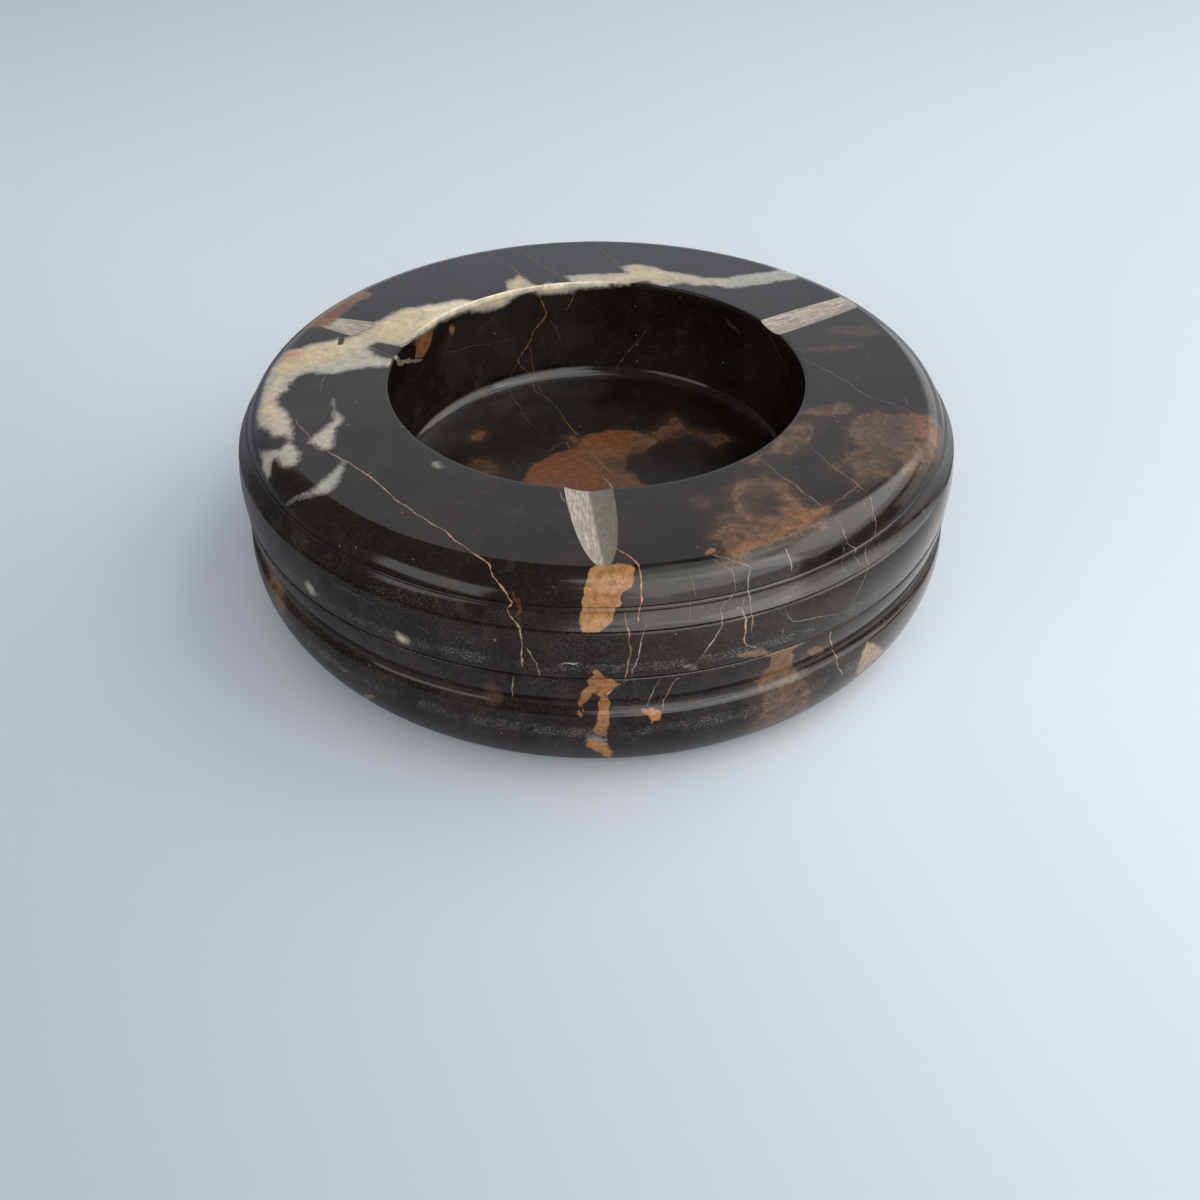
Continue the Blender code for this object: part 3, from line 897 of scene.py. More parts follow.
def draw_right_top(outer):
    """The brown clouds, the dull patches and the thin seams on the right of the flat top."""
    outer.seam(
        "rosewood grey grey rosewood grey grey", (0.3, 0.25, 0.3, 0.35, 0.3, 0.25),
        [(43.6, 5.2), (48.2, -0.2), (51.5, -4.8), (52.8, -8), (54.2, -9.7), (55.1, -11.1),
         (56.5, -12.2), (58.4, -13), (59.7, -14.1), (60.9, -15.1), (62.2, -16.8)],
        strength=0.7,
    )
    outer.seam("grey ivory grey", (0.35, 0.55, 0.3), [(62, -11.5), (62, -13.8)], strength=0.6)
    outer.seam(
        "grey rosewood beige grey", (0.3, 0.35, 0.4, 0.3),
        [(30.7, -34), (32, -36.1), (33.2, -38.4), (34.5, -40.5), (36.1, -42.2),
         (36.8, -44.5), (38.4, -46.5), (39.3, -48.2), (40.1, -49.3)],
        strength=0.7,
    )
    outer.seam(
        "grey rosewood beige rosewood rosewood", (0.25, 0.35, 0.3, 0.35, 0.3),
        [(40.5, -29.9), (41.7, -32.2), (43, -34.9), (44.2, -37.4), (45.7, -39.5),
         (46.8, -41.1), (47.6, -43.4), (48.6, -44.9), (49, -46.5), (49.3, -48.8),
         (49.3, -50.7)],
        strength=0.6,
    )
    outer.seam(
        "rosewood rosewood rosewood", (0.4, 0.5, 0.4),
        [(47.2, -42.4), (46.5, -43.4), (44.9, -44.9), (44.2, -46.1), (42.6, -47.2),
         (41.5, -48.8)],
        strength=0.8,
    )
    outer.inlay(
        "cloud",
        [(52, -20, "copper"), (60, -19, "copper"), (66, -20, "orange"), (48, -37, "copper"),
         (54, -37, "olive"), (60, -33, "honey"), (65, -27, "orange"), (56, -26, "umber")],
        [(48.4, -23.5), (49.8, -20.7), (52.3, -17.9), (55, -16.5), (57.7, -17.6),
         (60.7, -17.2), (63.7, -17.4)]
        + side((-14.5, 2.8), (-15.2, 5.1), (-17.5, 7), (-21.1, 7.1), (-24.4, 6.4),
               (-29.3, 4.6), (-32.8, 2.5), (-35.2, 1.2), (-37.2, -0.4))
        + [(50, -39.1), (48.3, -40.7), (46.9, -42.7), (46.7, -40.7), (48, -37.4),
           (46.8, -36.2), (44.4, -37), (43.6, -35.7), (46, -32.8), (48.1, -31.5),
           (49, -28.9), (48.5, -26.2)],
        softness=1.0,
    )
    outer.inlay(
        "cloud", [(29.4, -34, "orange"), (33, -30, "copper"), (38, -26, "umber"),
                  (41, -22, "copper")],
        [(31.2, -31.4), (32.9, -28.8), (35.7, -25.2), (38.5, -21.6), (41.6, -20.2),
         (41.9, -23.4), (40.7, -27), (38.9, -29.7), (36.2, -32.3), (33.4, -31.9),
         (31.5, -32.3), (29.4, -34.8), (28.3, -34.6), (29.6, -32.7)],
        softness=0.9,
    )
    outer.inlay(
        "cloud", "umber",
        [(40.6, -16.9), (43.3, -15), (46.3, -15), (48.6, -13), (50.4, -14), (48.8, -17.9),
         (47.2, -18.8), (44.9, -17.9), (41.9, -18.3)],
        softness=1.0,
    )
    outer.inlay(
        "ochre", "peat",
        [(49.5, 18.7), (53.6, 20.1), (59.7, 20.6), (63.2, 19.2), (64.2, 16.8), (60.2, 15.5),
         (54.8, 15.3), (50.9, 16.8)],
        softness=1.2,
    )
    outer.inlay(
        "ochre", "peat",
        [(42.3, 9.5), (45.8, 10.0), (50.3, 11.3), (55.6, 12.2), (58, 11.2), (55.4, 9.3),
         (50.5, 8.3), (45.4, 8.1)],
        softness=1.2,
    )
    outer.inlay(
        "cloud",
        [(28, -40, "copper"), (35, -46, "orange"), (24, -58, "orange"), (33, -57, "amber"),
         (23, -50, "copper"), (39, -51, "amber"), (28, -56, "orange"), (29, -48, "umber")],
        [(23.8, -45.4), (25.3, -41.9), (27.9, -40.2), (30.7, -39.7), (32.8, -41.3),
         (34.6, -42.1), (35.1, -44.7), (36.2, -48.2), (38.4, -50.1), (40.5, -49),
         (41.2, -50.1), (39.1, -54.2), (37, -55.8), (33.8, -57.6), (31.4, -59),
         (28.3, -60.6), (25.7, -61.9), (23.7, -63.1), (21.9, -64.4), (21.2, -61.7),
         (20, -57.4), (21.4, -53.1), (23.6, -50.1)],
        softness=1.0,
    )
    outer.inlay(
        "dark", "umber",
        [(26.4, -43.9), (28.7, -41.9), (31.3, -42.3), (32.9, -44.7), (32.8, -48.6),
         (31.2, -51.6), (28.5, -52.3), (26.4, -50.8), (25.6, -47.8)],
        softness=1.8,
    )
    outer.inlay(
        "ochre", "peat",
        [(16.5, -46.5), (18.5, -45.6), (20.5, -46.6), (20, -49.4), (18, -50), (16.8, -48.6)],
        softness=1.3,
    )
    outer.inlay(
        "ochre", "orange",
        [(18.2, -62.7), (18.6, -61.7), (19.5, -61.1), (20.2, -60.8), (20, -61.8),
         (19.2, -62.6), (18.6, -63.2)],
    )
    outer.seam(
        "beige rosewood beige", (0.4, 0.6, 0.4), [(19.5, -63), (23, -64), (26, -64.8)],
        strength=0.7,
    )


def draw_bowl_wall(inner):
    """The white vein, the patches and the seams on the wall of the bowl."""
    inner.inlay(
        "white", [(40, 50, "bone"), (0, 66, "milk"), (-30, 60, "milk")],
        wall((172, 34), (170, 29), (164.5, 27.9), (158, 26.5), (147, 25.5), (144.5, 26.2),
             (140, 25.5), (135, 25.7), (130, 24.5), (125, 23.2), (120, 23.2), (117, 24.8),
             (114.5, 26), (109.5, 26), (108, 24.8), (104, 24.5), (97, 24.5), (96, 25.7),
             (90, 25.8), (85, 26.5), (80, 27.1), (76, 29), (76, 36), (90, 40), (110, 42),
             (130, 42), (150, 40)),
    )
    inner.seam(
        "ivory ivory grey", (2.2, 2.0, 0.6),
        wall((172, 27.6), (166, 24), (158, 21), (151, 18.3)),
        strength=0.9,
    )
    inner.inlay(
        "ochre", "orange",
        wall((159, 26.5), (155.5, 24.1), (155, 20.4), (151.5, 19), (148.5, 20.4),
             (147, 23.8), (149, 26.9)),
        softness=0.4,
    )
    inner.inlay(
        "ochre", "orange",
        wall((139.5, 24.1), (138, 23.8), (137.2, 22.1), (138, 20.4), (139.2, 20.7),
             (139.7, 22.4)),
        softness=0.3,
    )
    inner.seam(
        "amber amber copper copper rust amber", (0.35, 0.4, 0.35, 0.35, 0.3, 0.3),
        wall((108.4, 25.2), (106.9, 22.4), (105.4, 19.7), (106.4, 17.6), (109.5, 14.9),
             (111, 11.8), (114, 9), (115.5, 7.3), (113.5, 5.6), (112, 4.2), (111.5, 2.2)),
        [(-15.1, 36.1), (-12.9, 34.5), (-11.4, 32), (-9.8, 29.5), (-8.6, 26.4),
         (-7.3, 22.6), (-5.7, 18.6), (-4.5, 16.4)],
    )
    inner.seam(
        "amber copper", (0.35, 0.25), wall((96.5, 25.2), (98, 21.7), (99, 20)),
    )
    inner.seam(
        "rust rust", (0.25, 0.25), wall((111, 11.1), (110.5, 8), (110.3, 2.5)),
    )
    inner.seam(
        "grey ash", (0.2, 0.2), wall((115.5, 7.3), (118.5, 3.9)), strength=0.6,
    )
    inner.seam(
        "ash grey ash", (0.2, 0.25, 0.2),
        wall((104.5, 17.6), (102.5, 14.9), (101.5, 12.5), (100.5, 9.7)), strength=0.6,
    )
    inner.seam(
        "ash grey ash", (0.2, 0.25, 0.2),
        wall((142, 16.6), (136, 15.6), (130, 15.2), (125, 14.2), (117, 14.2)), strength=0.5,
    )
    inner.seam(
        "ash grey ash", (0.25, 0.3, 0.25),
        wall((73.5, 15.9), (77, 11.4), (81, 7.3), (83, 4.6), (83.8, 3.2)), strength=0.6,
    )
    inner.seam(
        "umber rust umber", (0.6, 1.6, 0.6), wall((30, 27.9), (25, 23), (18, 19)),
        strength=0.5,
    )
    inner.seam(
        "moss ash moss", (1.8, 2.2, 1.8), wall((48, 23.8), (45, 22), (42, 20.7)),
        strength=0.5,
    )


def draw_bowl_floor(inner):
    """The rust patch, the small clouds and the seams on the floor of the bowl."""
    inner.seam("amber rust", (0.3, 0.25), [(-14.2, 38.9), (-13.2, 35.7)])
    inner.seam(
        "ash grey ash ash", (0.2, 0.3, 0.25, 0.2),
        [(-21.1, 36.4), (-20.1, 32.6), (-18.6, 29.5), (-15.1, 27.3), (-13.2, 25.4)],
        strength=0.6,
    )
    inner.seam(
        "ash grey ash ash", (0.2, 0.3, 0.25, 0.2),
        [(-18.6, 28.9), (-17, 24.5), (-15.1, 20.7), (-12.9, 17), (-11.4, 13.9)],
        strength=0.6,
    )
    inner.seam(
        "ash umber ash", (0.5, 1.4, 0.5), [(-7, 13.2), (-9.5, 11.7), (-11, 8.9)],
        strength=0.5,
    )
    inner.seam("ash ash", (0.4, 0.5), [(-18.9, 5), (-16.4, 1.4)], strength=0.5)
    inner.inlay(
        "cloud", "copper",
        [(-29, 4.4), (-27.6, 5.9), (-26, 5.9), (-24.4, 5.1), (-22.8, 3.6), (-22, 0),
         (-25, -1), (-28, 1)],
        softness=0.5,
    )
    inner.inlay(
        "cloud", "rust",
        [(-29, 16), (-28.4, 17.6), (-27.3, 18.1), (-26.2, 17.3), (-25.9, 16), (-26.4, 14.4),
         (-27.6, 14), (-28.6, 14.7)],
        softness=0.6,
    )
    inner.inlay(
        "cloud", "rosewood",
        [(-6.6, 15.4), (-5.4, 15.6), (-3.7, 13.4), (-4.2, 12.4), (-5.8, 13.2)],
        softness=0.8,
    )
    inner.inlay(
        "ochre",
        [(-12, 3, "rust"), (-8, 7, "rust"), (-6, -4, "rust"), (3, 15, "rust"),
         (2, 9, "copper"), (-2, -2, "rust"), (4, 4, "umber"), (-10, -6, "copper")],
        [(-16.4, -8), (-17.6, -5.2), (-16.1, -2.7), (-15.1, 2), (-13.9, 3.9), (-11.4, 6.4),
         (-9.5, 8.2), (-7, 9.5), (-5.1, 10.7), (-3.9, 12.6), (-3.2, 15.4), (-1.4, 16.7),
         (1.1, 17.3), (3, 18.6), (5.5, 18.2), (8, 17.6), (8.2, 13), (7.4, 10.7), (7, 7),
         (6.4, 3.2), (6.7, 0.7), (8.6, 0.1), (9.2, -3), (11.6, -5.1), (10.3, -8.2),
         (12.1, -11.4), (8.6, -12.3), (6.9, -15.8), (3.4, -14.9), (1.2, -18.3), (-2.3, -20.6),
         (-4.1, -17.2), (-7.8, -17.9), (-9.2, -14.1), (-13.4, -14.8), (-12.9, -11.6)],
        softness=0.6,
    )
    inner.inlay(
        "cloud", [(8, 15, "copper"), (18, 19, "rust"), (28, 15, "umber")],
        [(5.5, 18.8), (8, 18.2), (9.9, 17), (12.4, 17), (14.2, 18.9), (16.7, 20.7),
         (18, 25), (19.6, 22.6), (20.5, 18.9), (23, 17.6), (25.2, 17.3), (28.6, 17.3),
         (30.5, 15.1), (29.2, 12.6), (27.4, 10.7), (25.5, 12), (24.2, 14.5), (22.4, 16),
         (20.5, 15.7), (18, 14.7), (14.9, 13.5), (13, 11.8), (11.7, 10), (9.9, 8),
         (6.4, 7.7)],
        softness=1.0,
    )
    inner.seam(
        "orange amber grey ivory grey", (0.35, 0.35, 0.3, 0.3, 0.25),
        [(-4.5, 7), (-2, 3.9), (-0.1, 1.4), (1.7, -1.7), (3.3, -4.9), (4.4, -9)],
        strength=0.9,
    )
    inner.seam(
        "orange orange copper", (0.3, 0.35, 0.3), [(-1.1, 8.2), (1.1, 3.9), (3, 0.7), (4.6, -3)],
    )
    inner.seam("ivory ivory", (0.35, 0.35), [(-9.3, 2.9), (-8.6, 2.4)])
    inner.seam("orange rust", (0.4, 0.4), [(-7, 13.6), (-6, 10)])


# Closeness in millimetres: on one plane, as near as the step before, of no length at all,
# and so near the middle that a bearing says little
HAIR = 0.001
TIE = 0.0001
NO_LENGTH = 0.000001
NEAR_MIDDLE = 1.0


class StonePlaces:
    """Where each vertex of the block lies on the unrolled sheets."""

    def __init__(self, mesh, outline):
        places = np.empty(len(mesh.vertices) * 3)
        mesh.vertices.foreach_get("co", places)
        places = places.reshape(-1, 3) / MM
        self.radius = np.hypot(places[:, 0], places[:, 1])
        self.bearing = np.arctan2(places[:, 1], places[:, 0])
        self.level = places[:, 2]
        course = np.array(outline.points) / MM
        starts, ends, on_outer = self.course_reaches(course)
        step, share = self.nearest_step(course)
        self.reach = starts[step] + (ends[step] - starts[step]) * share
        self.outer = on_outer[step]
        self.unrolled = np.stack(
            [self.reach * np.cos(self.bearing), self.reach * np.sin(self.bearing)], axis=1
        )
        reach = np.maximum(self.reach, NEAR_MIDDLE)
        self.squeeze = np.where(self.reach > NEAR_MIDDLE, self.radius / reach, 1.0)

    @staticmethod
    def course_reaches(course):
        """The reach at both ends of every step, and whether it is on the outer sheet."""
        lengths = np.hypot(*np.diff(course, axis=0).T)
        travelled = np.concatenate([[0.0], np.cumsum(lengths)])
        on_top = course[:, 1] > TOP / MM - HAIR
        lip = int(np.argmax(on_top))
        edge = int(np.argmax(on_top & (course[:, 0] > FLAT_EDGE - HAIR)))
        reach = np.where(
            np.arange(len(course)) > edge, FLAT_EDGE + travelled - travelled[edge], course[:, 0]
        )
        on_outer = np.arange(len(course) - 1) >= lip
        starts = np.where(on_outer, reach[:-1], travelled[:-1])
        ends = np.where(on_outer, reach[1:], travelled[1:])
        return starts, ends, on_outer

    def nearest_step(self, course):
        """For every vertex the nearest step of the outline, and how far along it that is."""
        step = np.zeros(len(self.radius), dtype=int)
        share = np.zeros(len(self.radius))
        best = np.full(len(self.radius), np.inf)
        for index in range(len(course) - 1):
            start, run = course[index], course[index + 1] - course[index]
            along = (self.radius - start[0]) * run[0] + (self.level - start[1]) * run[1]
            along = np.clip(along / run.dot(run), 0.0, 1.0)
            gap = np.hypot(
                self.radius - start[0] - along * run[0], self.level - start[1] - along * run[1]
            )
            closer = gap < best + TIE
            step[closer], share[closer], best[closer] = index, along[closer], gap[closer]
        return step, share

    def near(self, sheet, route, margin):
        """The vertices of a sheet that lie within margin of a route's box."""
        low = route.min(axis=0) - margin
        high = route.max(axis=0) + margin
        inside = ((self.unrolled > low) & (self.unrolled < high)).all(axis=1)
        return np.nonzero(inside & (self.outer == (sheet == "outer")))[0]

    def measure(self, vertices, route):
        """Distance to the nearest step of the route, its side, step and share, as cut stone."""
        outward = np.stack(
            [np.cos(self.bearing[vertices]), np.sin(self.bearing[vertices])], axis=1
        )
        aside = np.stack([-outward[:, 1], outward[:, 0]], axis=1)
        ends = route[None, :, :] - self.unrolled[vertices][:, None, :]
        local = np.stack(
            [
                (ends * outward[:, None, :]).sum(axis=2),
                (ends * aside[:, None, :]).sum(axis=2) * self.squeeze[vertices][:, None],
            ],
            axis=2,
        )
        start, run = local[:, :-1], np.diff(local, axis=1)
        length = np.maximum((run ** 2).sum(axis=2), NO_LENGTH)
        raw = -(start * run).sum(axis=2) / length
        share = np.clip(raw, 0.0, 1.0)
        foot = start + run * share[:, :, None]
        gap = np.hypot(foot[:, :, 0], foot[:, :, 1])
        step = gap.argmin(axis=1)
        pick = (np.arange(len(vertices)), step)
        turn = run[:, :, 0] * start[:, :, 1] - run[:, :, 1] * start[:, :, 0]
        return gap[pick], np.sign(turn[pick]), step, share[pick], raw[pick]


def lengthwise(route):
    """How far along a route each of its points is, from 0 to 1."""
    lengths = np.concatenate([[0.0], np.cumsum(np.hypot(*np.diff(route, axis=0).T))])
    return lengths / lengths[-1]


def spread(values, share):
    """Values given evenly along a route, read off at each share of its length."""
    values = np.array(values, dtype=float)
    if len(values) == 1:
        return np.repeat(values, len(share), axis=0)
    stations = np.linspace(0.0, 1.0, len(values))
    if values.ndim == 1:
        return np.interp(share, stations, values)
    return np.stack([np.interp(share, stations, part) for part in values.T], axis=1)


def lay_seams(mesh, places, sheets):
    """Write the seams to vertex attributes, in layers in which no two seams meet."""
    count = len(mesh.vertices)
    shapes = np.zeros((SEAM_LAYERS, count, 3))
    shapes[:, :, 0] = FAR_AWAY
    colours = np.zeros((SEAM_LAYERS, count, 3))
    taken = np.zeros((SEAM_LAYERS, count), dtype=bool)
    for name, sheet in sheets.items():
        for route, tints, widths, strength in sheet.seams:
            near = places.near(name, route, SEAM_REACH[name] * SEAM_CLEARANCE)
            gap, hand, step, share, raw = places.measure(near, route)
            last = len(route) - 2
            past = ((step == 0) & (raw < 0.0)) | ((step == last) & (raw > 1.0))
            held = gap < SEAM_REACH[name]
            near, gap, hand, past = near[held], gap[held], hand[held], past[held]
            stations = lengthwise(route)
            step, share = step[held], share[held]
            along = stations[step] + (stations[step + 1] - stations[step]) * share
            free = [layer for layer in range(SEAM_LAYERS) if not taken[layer, near].any()]
            if not free:
                raise RuntimeError("more seams meet here than there are layers for")
            layer = free[0]
            taken[layer, near] = True
            half = spread(widths, along) / 2.0
            shapes[layer, near, 0] = gap * hand
            shapes[layer, near, 1] = np.where(past, 0.0, half)
            shapes[layer, near, 2] = strength
            colours[layer, near] = spread([linear(tint) for tint in tints], along)
    for layer in range(SEAM_LAYERS):
        store(mesh, f"seam_shape_{layer + 1}", shapes[layer])
        store(mesh, f"seam_colour_{layer + 1}", colours[layer])


def inside(outline, points):
    """Which points lie inside a closed outline."""
    found = np.zeros(len(points), dtype=bool)
    for start, end in zip(outline, np.roll(outline, -1, axis=0)):
        crosses = (start[1] > points[:, 1]) != (end[1] > points[:, 1])
        rise = end[1] - start[1] if end[1] != start[1] else 1.0
        meet = start[0] + (points[:, 1] - start[1]) / rise * (end[0] - start[0])
        found ^= crosses & (points[:, 0] < meet)
    return found


def blended_tint(tints, points):
    """The tint at each point: one name, or named anchors that fade into each other."""
    if isinstance(tints, str):
        return np.repeat([linear(tints)], len(points), axis=0)
    anchors = np.array([anchor[:2] for anchor in tints], dtype=float)
    colours = np.array([linear(anchor[2]) for anchor in tints])
    gaps = np.hypot(*(points[:, None, :] - anchors[None, :, :]).transpose(2, 0, 1))
    weights = 1.0 / (gaps + TINT_REACH) ** 3
    return (weights[:, :, None] * colours[None]).sum(axis=1) / weights.sum(axis=1)[:, None]


def lay_inlays(mesh, places, sheets):
    """Write the inlays to vertex attributes: how far inside each vertex is, and its tint."""
    count = len(mesh.vertices)
    for group in INLAY_GROUPS:
        shapes = np.zeros((count, 3))
        shapes[:, 0] = -INLAY_REACH
        shapes[:, 1] = 1.0
        colours = np.zeros((count, 3))
        for name, sheet in sheets.items():
            for inlay_group, tints, outline, softness in sheet.inlays:
                if inlay_group != group:
                    continue
                closed = np.concatenate([outline, outline[:1]])
                near = places.near(name, closed, INLAY_REACH)
                gap = places.measure(near, closed)[0]
                within = inside(outline, places.unrolled[near])
                depth = np.clip(np.where(within, gap, -gap), -INLAY_REACH, INLAY_REACH)
                deeper = depth > shapes[near, 0]
                near, depth = near[deeper], depth[deeper]
                shapes[near, 0] = depth
                shapes[near, 1] = softness
                colours[near] = blended_tint(tints, places.unrolled[near])
        store(mesh, f"{group}_shape", shapes)
        store(mesh, f"{group}_colour", colours)


def store(mesh, name, values):
    """Keep one vector a vertex under a name that the materials read."""
    attribute = mesh.attributes.new(name, "FLOAT_VECTOR", "POINT")
    attribute.data.foreach_set("vector", np.asarray(values, dtype=np.float32).ravel())


# The streaks of a rest reach this far aside and past its ends, in millimetres
REST_LINES_ASIDE = 12.0
REST_LINES_PAST = 3.0
NO_REST = 100.0


def lay_rest_lines(mesh, places):
    """Across and along each rest, for the streaks that the grindstone left."""
    values = np.zeros((len(mesh.vertices), 3))
    values[:, 0] = NO_REST
    plain = np.stack(
        [places.radius * np.cos(places.bearing), places.radius * np.sin(places.bearing)], axis=1
    )
    for number, rest in enumerate(RESTS):
        inner, along, length = rest_axis(rest)
        from_lip = plain - np.array(inner)[None, :] / MM
        forward = from_lip @ np.array(along)
        across = from_lip @ np.array((-along.y, along.x))
        near = (abs(across) < REST_LINES_ASIDE) & (forward > -REST_LINES_PAST)
        near &= forward < length / MM + REST_LINES_PAST
        values[near, 0] = across[near]
        values[near, 1] = forward[near]
        values[near, 2] = number
    store(mesh, "rest_lines", values)


# The piece's own map for the bake, in millimetres on a square sheet
BAKE_SHEET = 250.0
HALF_ROUND = 232.5
SIDE_STRIP_LOW = (0.0, 59.0)
FLAT_MIDDLE = (66.0, 184.0)
WALL_LEFT = 134.0
WALL_LOW = 118.0
WALL_PITCH = 29.4
WALL_ROUND = 94.2
FOOT_MIDDLE = (155.5, 228.5)
FOOT_SHEET_RADIUS = 20.0
SIDE_HEIGHT = 57.2
HALF_TURN = 180.0
THIRD_TURN = 120.0
WHOLLY = 0.99


def lay_bake_map(mesh, places):
    """Lay the faces out on the bake sheet: the top, the floor, strips and the foot."""
    loops = len(mesh.loops)
    corner = np.empty(loops, dtype=int)
    mesh.loops.foreach_get("vertex_index", corner)
    totals = np.empty(len(mesh.polygons), dtype=int)
    mesh.polygons.foreach_get("loop_total", totals)
    owner = np.repeat(np.arange(len(totals)), totals)

    def face_mean(values):
        """A value's mean over each face, given at the face's corners."""
        return (np.bincount(owner, values[corner]) / totals)[owner]

    bearing = places.bearing[corner]
    middle = np.arctan2(face_mean(np.sin(places.bearing)), face_mean(np.cos(places.bearing)))
    reach = places.reach[corner]
    radius = places.radius[corner]
    mean_reach = face_mean(places.reach)
    outer = face_mean(places.outer.astype(float)) > WHOLLY
    turn = (bearing - middle + math.pi) % (2.0 * math.pi) - math.pi
    swing = np.degrees(middle + turn) + HALF_TURN
    middle = np.degrees(middle) + HALF_TURN
    x = radius * np.cos(bearing) + FLAT_MIDDLE[0]
    y = radius * np.sin(bearing) + FLAT_MIDDLE[1]
    on_side = outer & (mean_reach > FLAT_EDGE)
    half = (middle > HALF_TURN).astype(int)
    low = np.array(SIDE_STRIP_LOW)[half]
    x = np.where(on_side, (swing / HALF_TURN - half) * HALF_ROUND, x)
    y = np.where(on_side, low + SIDE_HEIGHT - (reach - FLAT_EDGE), y)
    on_wall = ~outer & (mean_reach > FLOOR_EDGE)
    third = np.clip(np.floor(middle / THIRD_TURN), 0, 2)
    x = np.where(on_wall, WALL_LEFT + (swing / THIRD_TURN - third) * WALL_ROUND, x)
    y = np.where(on_wall, WALL_LOW + WALL_PITCH * third + np.maximum(reach - FLOOR_EDGE, 0.0), y)
    under = on_side & (mean_reach > FLAT_EDGE + SIDE_HEIGHT)
    shrunk = radius * FOOT_SHEET_RADIUS / (BODY_RADIUS - FOOT_INSET) * MM
    x = np.where(under, FOOT_MIDDLE[0] + shrunk * np.cos(bearing), x)
    y = np.where(under, FOOT_MIDDLE[1] + shrunk * np.sin(bearing), y)
    layer = mesh.uv_layers.new(name="OFBake")
    sheet = np.stack([x, y], axis=1) / BAKE_SHEET
    layer.data.foreach_set("uv", sheet.astype(np.float32).ravel())


def finish_edges(mesh, outline, foot_index):
    """Smooth faces, crisp corner rings and rest edges, and the foot in its own finish."""
    rings = np.array(outline.corners)
    shape = bmesh.new()
    shape.from_mesh(mesh)
    ring_of = {}
    for vertex in shape.verts:
        gap = np.abs(rings - (math.hypot(vertex.co.x, vertex.co.y), vertex.co.z)).max(axis=1)
        nearest = int(gap.argmin())
        if gap[nearest] < 2.0 * MERGE_DISTANCE:
            ring_of[vertex.index] = nearest
    for face in shape.faces:
        face.smooth = True
        if all(vertex.co.z < MERGE_DISTANCE for vertex in face.verts):
            face.material_index = foot_index
    for edge in shape.edges:
        first, last = (ring_of.get(vertex.index) for vertex in edge.verts)
        on_ring = first is not None and first == last
        slots = {face.material_index for face in edge.link_faces}
        edge.smooth = not on_ring and len(slots) == 1
    shape.to_mesh(mesh)
    shape.free()


# The looks of the stone. A grain is a noise: the width of its blotches in metres, its detail
# and its roughness. A patchiness is a grain, the two levels of it between which a share fades,
# and the share at both. Depths inside an inlay and gaps from a seam are in millimetres, and
# colours are (red, green, blue) as they are seen.
GROUND_DARK = (21, 16, 13)
MOTTLES = (
    ((0.0110, 4.0, 0.50, 0.40, 0.66, 0.0, 1.00), (33, 26, 22)),
    ((0.0060, 5.0, 0.60, 0.55, 0.75, 0.0, 0.70), (44, 39, 32)),
    ((0.0044, 7.0, 0.62, 0.56, 0.76, 0.0, 0.60), (60, 44, 35)),
    ((0.0006, 4.0, 0.70, 0.48, 0.76, 0.0, 0.30), (78, 66, 56)),
)
# Pale specks: how far apart, the share of them that stays dark, and their colour
SPECKS = ((0.0034, 0.72, (120, 104, 88)), (0.0013, 0.80, (74, 63, 53)))
SPECK_CHOICE = 0.03
SPECK_SIZE = (0.02, 0.10)

SEAM_GRAIN = (0.0024, 5.0, 0.68)
SEAM_WANDER = 0.9
SEAM_SWELL = (0.0018, 3.0, 0.50, 0.32, 0.68, 0.22, 0.92)
SEAM_TINTING = (0.0012, 0.70, 1.15)
SEAM_BLUR = 0.07
SEAM_COVER = 0.88
THINNEST_SEAM = 0.03

INLAY_ROUGHNESS = 0.62
TINTING_DETAIL = 4.0
TINTING_ROUGHNESS = 0.65
TINTING_LEVELS = (0.32, 0.70)

CLOUD_GRAIN = (0.0042, 9.0)
CLOUD_WANDER = 4.6
CLOUD_FRAY_GRAIN = (0.0011, 5.0, 0.70)
CLOUD_FRAY = 3.2
CLOUD_HOLE_GRAIN = (0.0044, 8.0)
CLOUD_HOLE_WANDER = 5.0
CLOUD_IN_HOLE = 0.42
CLOUD_DRIFT = (0.0050, 9.0, 0.70)
CLOUD_DRIFT_TWIST = 0.7
CLOUD_DRIFT_LEVELS = (0.38, 0.60, 0.32, 1.0)
CLOUD_HAZE = (-3.2, 0.5, 0.0, 0.34)
CLOUD_FINE = (0.0008, 4.0, 0.70, 0.34, 0.62, 0.62, 1.00)
CLOUD_RIM_DEPTH = (0.0, 2.6, 1.0, 0.15)
CLOUD_RIM = (0.0030, 6.0, 0.70, 0.42, 0.62, 0.0, 0.75)
CLOUD_RIM_TONE = (146, 108, 74)
CLOUD_TINTING = (0.0026, 0.60, 1.18)
CLOUD_VEIL = 0.35
CLOUD_VEIL_TONE = (112, 92, 76)

WHITE_GRAIN = (0.0024, 8.0)
WHITE_WANDER = 2.0
WHITE_FRAY_GRAIN = (0.0007, 4.0, 0.70)
WHITE_FRAY = 1.0
WHITE_HOLE_GRAIN = (0.0020, 4.0)
WHITE_HOLE_WANDER = 0.8
WHITE_FRINGE_DEPTH = (-0.40, 0.15)
WHITE_CORE_DEPTH = (0.05, 0.90)
WHITE_FRINGE = (0.0012, 3.0, 0.60, 0.30, 0.70, 0.40, 0.90)
WHITE_FRINGE_TONE = (118, 114, 107)
WHITE_TINTING = (0.0018, 0.76, 1.06)
WHITE_SMOKE = (0.0038, 6.0, 0.70, 0.46, 0.66, 0.0, 0.55)
WHITE_SMOKE_TONE = (158, 150, 134)
WHITE_EDGE_DEPTH = (0.3, 2.4, 0.62, 0.0)
WHITE_EDGE_TONE = (146, 146, 140)
WHITE_MILK = (0.0014, 6.0, 0.70, 0.52, 0.70, 0.0, 0.60)
